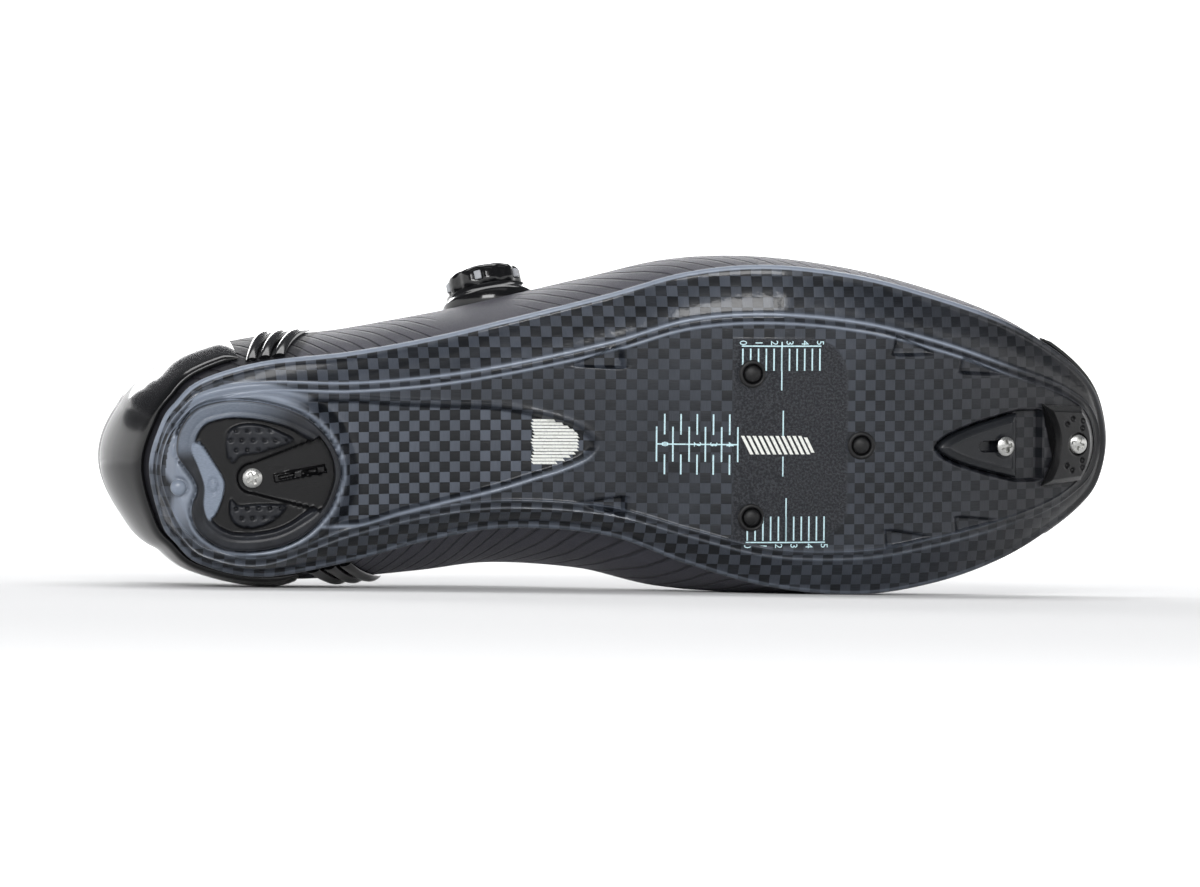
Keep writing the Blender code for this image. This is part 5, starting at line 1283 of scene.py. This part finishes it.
def nubBody():
    parts, high = [], dial["baseHeight"] + dial["height"] * 0.48
    for k in range(dial["nubs"]):
        turn = math.tau * (k + 0.5) / dial["nubs"]
        nub = bmesh.new()
        bmesh.ops.create_cube(nub, size=1)
        bmesh.ops.scale(nub, vec=dial["nubSize"], verts=nub.verts)
        bmesh.ops.bevel(nub, geom=nub.edges[:], offset=0.3 * mm, offset_type="OFFSET", affect="EDGES",
                        segments=2, profile=0.5, material=-1)
        bmesh.ops.translate(nub, vec=(dial["radius"] * 0.985, 0, high), verts=nub.verts)
        bmesh.ops.rotate(nub, verts=nub.verts, cent=(0, 0, 0), matrix=Matrix.Rotation(turn, 3, "Z"))
        parts.append(nub)
    return placed(joined(parts), dialPlace, dialOut, dialAlong)


fit("dialBase", dialBaseBody(), "gloss", ["dial_base"], sharp=40)
fit("dialKnob", knobBody(), "gloss", ["dial_knob"], sharp=40)
fit("dialNubs", nubBody(), "nub", sharp=40)

# Cord guides on the throat's edge, and the cord that runs through them
guides = {"rows": (8.35, 9.35, 10.35, 11.35, 12.35), "up": 0.955, "length": 8 * mm, "wall": 0.8 * mm,
          "lift": 1.5 * gap, "cordRadius": 0.6 * mm, "turn": 1.35, "entryRows": 0.8, "entryUp": 0.995,
          "entryLift": 2.6 * mm}


def guideSide(k):
    return loop - guides["rows"][k] if k % 2 == 0 else guides["rows"][k]


def guideBody(k):
    tall = 2 * (guides["wall"] + guides["cordRadius"] + gap)
    wide, half = tall * 0.9, guides["length"] / 2
    bore = guides["cordRadius"] + gap

    def place(turn, at):
        along, inner = at
        c, s = math.cos(turn), math.sin(turn)
        if inner:
            return Vector((along * half, bore * c, tall / 2 + bore * s))
        flat = 1 - 0.10 * abs(along) ** 3
        y = wide * flat * (abs(c) ** 0.75) * (1 if c > 0 else -1) * (1.0 if s < 0 else 1 - 0.25 * s)
        z = tall / 2 + (tall / 2) * flat * (abs(s) ** 0.75) * (1 if s > 0 else -1)
        return Vector((along * half, y, z))
    vs = [(a, 0) for a in (-1, -0.97, -0.88, -0.5, 0, 0.5, 0.88, 0.97, 1)]
    vs += [(1, 1), (0, 1), (-1, 1), (-1, 0)]
    origin, out, along = onWall(guideSide(k), guides["up"], guides["lift"])
    return placed(grid(steps(0, math.tau, 40), vs, place), origin, out, along)


def cordPoints():
    edge = onWall(dial["row"] + guides["entryRows"], guides["entryUp"], guides["entryLift"])[0]
    level = edge - dialPlace
    across = (level - dialOut * level.dot(dialOut)).normalized()
    radius = guides["cordRadius"]
    route = [dialPlace + dialOut * 0.5 * dial["baseHeight"] + across * (dial["baseRadius"] + radius), edge]
    lift = guides["lift"] + guides["wall"] + radius + gap
    for k in range(len(guides["rows"])):
        centre, _, along = onWall(guideSide(k), guides["up"], lift)
        half = along * guides["length"] * (-0.5 if k % 2 == 0 else 0.5)
        route.append(centre - half * guides["turn"])
        route.append(centre + half * (guides["turn"] if k < len(guides["rows"]) - 1 else 0.5))
    points = [route[0]]
    for before, corner, after in zip(route, route[1:], route[2:]):
        start = corner + (before - corner).normalized() * 1.5 * radius
        end = corner + (after - corner).normalized() * 1.5 * radius
        points += [start * (1 - t) ** 2 + corner * 2 * t * (1 - t) + end * t * t for t in steps(0, 1, 5)]
    return points + [route[-1]]


def cordTube():
    line = bpy.data.curves.new("closureCord", "CURVE")
    line.dimensions = "3D"
    line.bevel_depth = guides["cordRadius"]
    line.bevel_resolution = 3
    line.use_fill_caps = True
    run = line.splines.new("POLY")
    points = [lay @ p for p in cordPoints()]
    run.points.add(len(points) - 1)
    for target, place in zip(run.points, points):
        target.co = (*place, 1)
    line.materials.append(finishes["cord"])
    piece = bpy.data.objects.new("closureCord", line)
    bpy.context.scene.collection.objects.link(piece)
    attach(piece, "shoe")
    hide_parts("closure_cord")


for k in range(len(guides["rows"])):
    fit(f"cordGuide_{k + 1}", guideBody(k), "matte", [f"cord_guide_{k + 1}"], sharp=50)
cordTube()
print("dial, guides and cord made")

# Printed scales: thin raised ink on the deck
ink = {"lift": 0.06 * mm, "thick": 0.04 * mm, "tick": 0.42, "thin": 0.36}  # widths in mm


def stroke(x, y, halfX, halfY, slant=0.0):
    # one printed stroke, in millimetres of the shoe's frame
    bm = bmesh.new()
    bmesh.ops.create_grid(bm, x_segments=max(1, round(halfX)), y_segments=6, size=1)
    for vert in bm.verts:
        vert.co = Vector((x + vert.co.x * halfX + vert.co.y * slant, y + vert.co.y * halfY, 0)) * mm
    bmesh.ops.solidify(bm, geom=bm.faces[:], thickness=ink["thick"])
    return bm


def number(text, x, y, size, turn=0.0):
    data = bpy.data.curves.new("number", "FONT")
    data.body, data.size, data.align_x, data.align_y = text, size * mm, "CENTER", "CENTER"
    data.extrude = ink["thick"] / 2
    data.resolution_u = 2
    made = bpy.data.objects.new("number", data)
    bpy.context.scene.collection.objects.link(made)
    mesh = bpy.data.meshes.new_from_object(made.evaluated_get(bpy.context.evaluated_depsgraph_get()))
    bpy.data.objects.remove(made)
    bm = bmesh.new()
    bm.from_mesh(mesh)
    bpy.data.meshes.remove(mesh)
    bmesh.ops.rotate(bm, verts=bm.verts, cent=(0, 0, 0), matrix=Matrix.Rotation(turn, 3, "Z"))
    for vert in bm.verts:  # read from below: X stays, Y is mirrored
        vert.co = Vector((x * mm + vert.co.x, y * mm - vert.co.y, -vert.co.z))
    return bm


def printed(strokes):
    bm = joined(strokes)
    places = np.array([vert.co for vert in bm.verts])
    x, y = places[:, 0], places[:, 1]
    for vert, z in zip(bm.verts, (soleRelief(x, y, deckZ(x)) - ink["lift"] + places[:, 2]).tolist()):
        vert.co.z = z
    return bm


sideScale = {"x": 165.2, "step": 2.17, "ticks": 11, "middles": (176.1, 177.6), "innerShift": 1.6,
             "half": 11.2, "tickY": (-23.2, 24.3), "tickHalf": (3.1, 3.4), "lineY": (-27.0, 28.2),
             "numberY": (-27.9, 29.2)}  # pairs: the outer and the inner scale
axisScale = {"x": 141.7, "y": 0.7, "step": 4.46, "ticks": 6, "middle": 152.8, "between": 2.2}
numberSize, numberTurn = 2.9, -math.pi / 2


def scales():
    strokes, tick, thin = [], ink["tick"] / 2, ink["thin"] / 2
    for k in range(sideScale["ticks"]):  # across the outer and the inner hole
        for side, shift in enumerate((0, sideScale["innerShift"])):
            x = sideScale["x"] + sideScale["step"] * k + shift
            strokes.append(stroke(x, sideScale["tickY"][side], tick, sideScale["tickHalf"][side]))
            if k % 2 == 0:
                strokes.append(number(str(k // 2), x, sideScale["numberY"][side], numberSize, numberTurn))
    for x, y in zip(sideScale["middles"], sideScale["lineY"]):
        strokes.append(stroke(x, y, sideScale["half"], thin))
    for x, y, half in ((176.1, -21.4, 6.8), (176.6, -5.3, 3.6), (176.6, 6.8, 2.8), (177.6, 21.8, 6.1)):
        strokes.append(stroke(x, y, thin, half))
    axis = axisScale["y"]
    strokes.append(stroke(axisScale["middle"], axis, sideScale["half"], thin))
    for k in range(axisScale["ticks"]):  # along the axis, with the numbers between
        x = axisScale["x"] + axisScale["step"] * k
        strokes.append(stroke(x, axis, tick, 4.9))
        if k < axisScale["ticks"] - 1:
            x += axisScale["between"]
            strokes += [stroke(x, -4.9, tick, 2.9), stroke(x, 6.4, tick, 2.8)]
            strokes.append(number(str(k), x, axis, numberSize, numberTurn))
    return printed(strokes)


def hatching():
    strokes = []
    for k in range(12):  # a bar of slanted strokes between the scales, pointed towards the toe
        x = 166.6 + 1.6 * k
        half = 2.6 * min(1.0, (187.0 - x) / 3.4)
        strokes.append(stroke(x - 0.3 * (2.6 - half), 0.8, 0.47, half, slant=0.5 * half))
    for k in range(14):  # the tip of the arch recess
        y = -5.6 + 0.92 * k
        reach = 13.0 * math.sqrt(max(0.0, 1 - ((y - 0.5) / 6.9) ** 2))
        start = 107.6 + 0.3 * math.sin(5.1 * k)
        strokes.append(stroke(start + reach / 2, y, reach / 2, 0.36, slant=0.3))
    return printed(strokes)


fit("printedScales", scales(), "ink", sharp=30)
fit("printedHatching", hatching(), "whiteInk", sharp=30)
print("scales printed")

# Stitches along the collar and the throat
stitching = {"radius": 0.28 * mm, "length": 2.0 * mm, "pitch": 3.0 * mm, "lift": 0.05 * mm}


def stitchRow(first, last, high):
    fine = steps(first, last, 400)
    parts, since = [], stitching["pitch"]
    stretch = stitching["length"] / stitching["radius"] / 2
    for a, b in zip(fine, fine[1:]):
        since += (wallPoint(b, high) - wallPoint(a, high)).length
        if since >= stitching["pitch"]:
            since = 0.0
            stitch = bmesh.new()
            bmesh.ops.create_uvsphere(stitch, u_segments=8, v_segments=6, radius=stitching["radius"])
            bmesh.ops.scale(stitch, vec=(stretch, 1, 0.7), verts=stitch.verts)
            parts.append(placed(stitch, *onWall(a, high, stitching["lift"])))
    return parts


threads = stitchRow(-6.6, 6.6, 0.945)
threads += stitchRow(7.6, 16.4, 0.90) + stitchRow(loop - 16.4, loop - 7.6, 0.90)
fit("stitches", joined(threads), "cord", sharp=60)
print("stitches made")

# Floor, backdrop and light
studio = {"paint": (0.86, 0.86, 0.86), "radius": 6.0, "bend": 1.2, "high": 2.0, "segments": 96,
          "glowFrom": 0.35, "glowTo": 1.7, "glow": 0.9}


def backdropFinish():
    n = Nodes("paleBackdrop")
    place = n.node("TexCoord").outputs["Object"]
    x, y, _ = n.split(place)
    grain = n.noise(place, 14.0, 2.0)
    base = n.colour(n.times(grain, 0.04), studio["paint"], (0.80, 0.80, 0.80))
    away = n.math("SQRT", n.plus(n.times(x, x), n.times(y, y)))
    glow = n.times(n.between(away, studio["glowFrom"], studio["glowTo"]), studio["glow"])
    return n.finish(Base_Color=base, Roughness=0.9, Specular_IOR_Level=0.0, Emission_Color=(1.0, 1.0, 1.0),
                    Emission_Strength=glow)


def backdrop():  # a round floor that turns up into a low wall far from the shoe
    bend, radius = studio["bend"], studio["radius"]
    rise = [(radius - bend * (1 - math.sin(a)), bend * (1 - math.cos(a))) for a in steps(0, math.pi / 2, 12)]
    profile = [(0.0, 0.0), (0.5, 0.0), (2.0, 0.0)] + rise + [(radius, studio["high"])]
    bm = turned(profile, studio["segments"])
    bmesh.ops.recalc_face_normals(bm, faces=bm.faces)
    mesh = bpy.data.meshes.new("backdrop")
    bm.to_mesh(mesh)
    bm.free()
    mesh.materials.append(backdropFinish())
    mesh.shade_smooth()
    made = bpy.data.objects.new("backdrop", mesh)
    bpy.context.scene.collection.objects.link(made)


def softbox(name, place, aim, size, power):
    data = bpy.data.lights.new(name, "AREA")
    data.shape, data.size, data.size_y, data.energy = "RECTANGLE", size[0], size[1], power
    made = bpy.data.objects.new(name, data)
    bpy.context.scene.collection.objects.link(made)
    made.matrix_world = (Matrix.Translation(place)
                         @ (Vector(aim) - Vector(place)).to_track_quat("-Z", "Y").to_matrix().to_4x4())


def light():
    softbox("topLight", (0.0, 0.3, 0.95), (0, 0.0, 0.04), (1.3, 0.35), 5.4)
    softbox("backLight", (0.0, 1.3, 0.62), (0, 0, 0.03), (1.5, 0.3), 12.0)
    softbox("frontLight", (-0.35, -1.95, 0.85), (0, 0, 0.05), (1.1, 0.5), 24.0)
    softbox("floorLight", (0.0, -0.85, 1.3), (0, -0.85, 0), (1.8, 0.4), 1.6)
    world = bpy.data.worlds.new("studio")
    world.use_nodes = True
    world.node_tree.nodes["Background"].inputs["Color"].default_value = (0.9, 0.93, 1.0, 1)
    world.node_tree.nodes["Background"].inputs["Strength"].default_value = 0.17
    bpy.context.scene.world = world
    bpy.context.scene.view_settings.view_transform = "Standard"


backdrop()
light()
print("scene made")
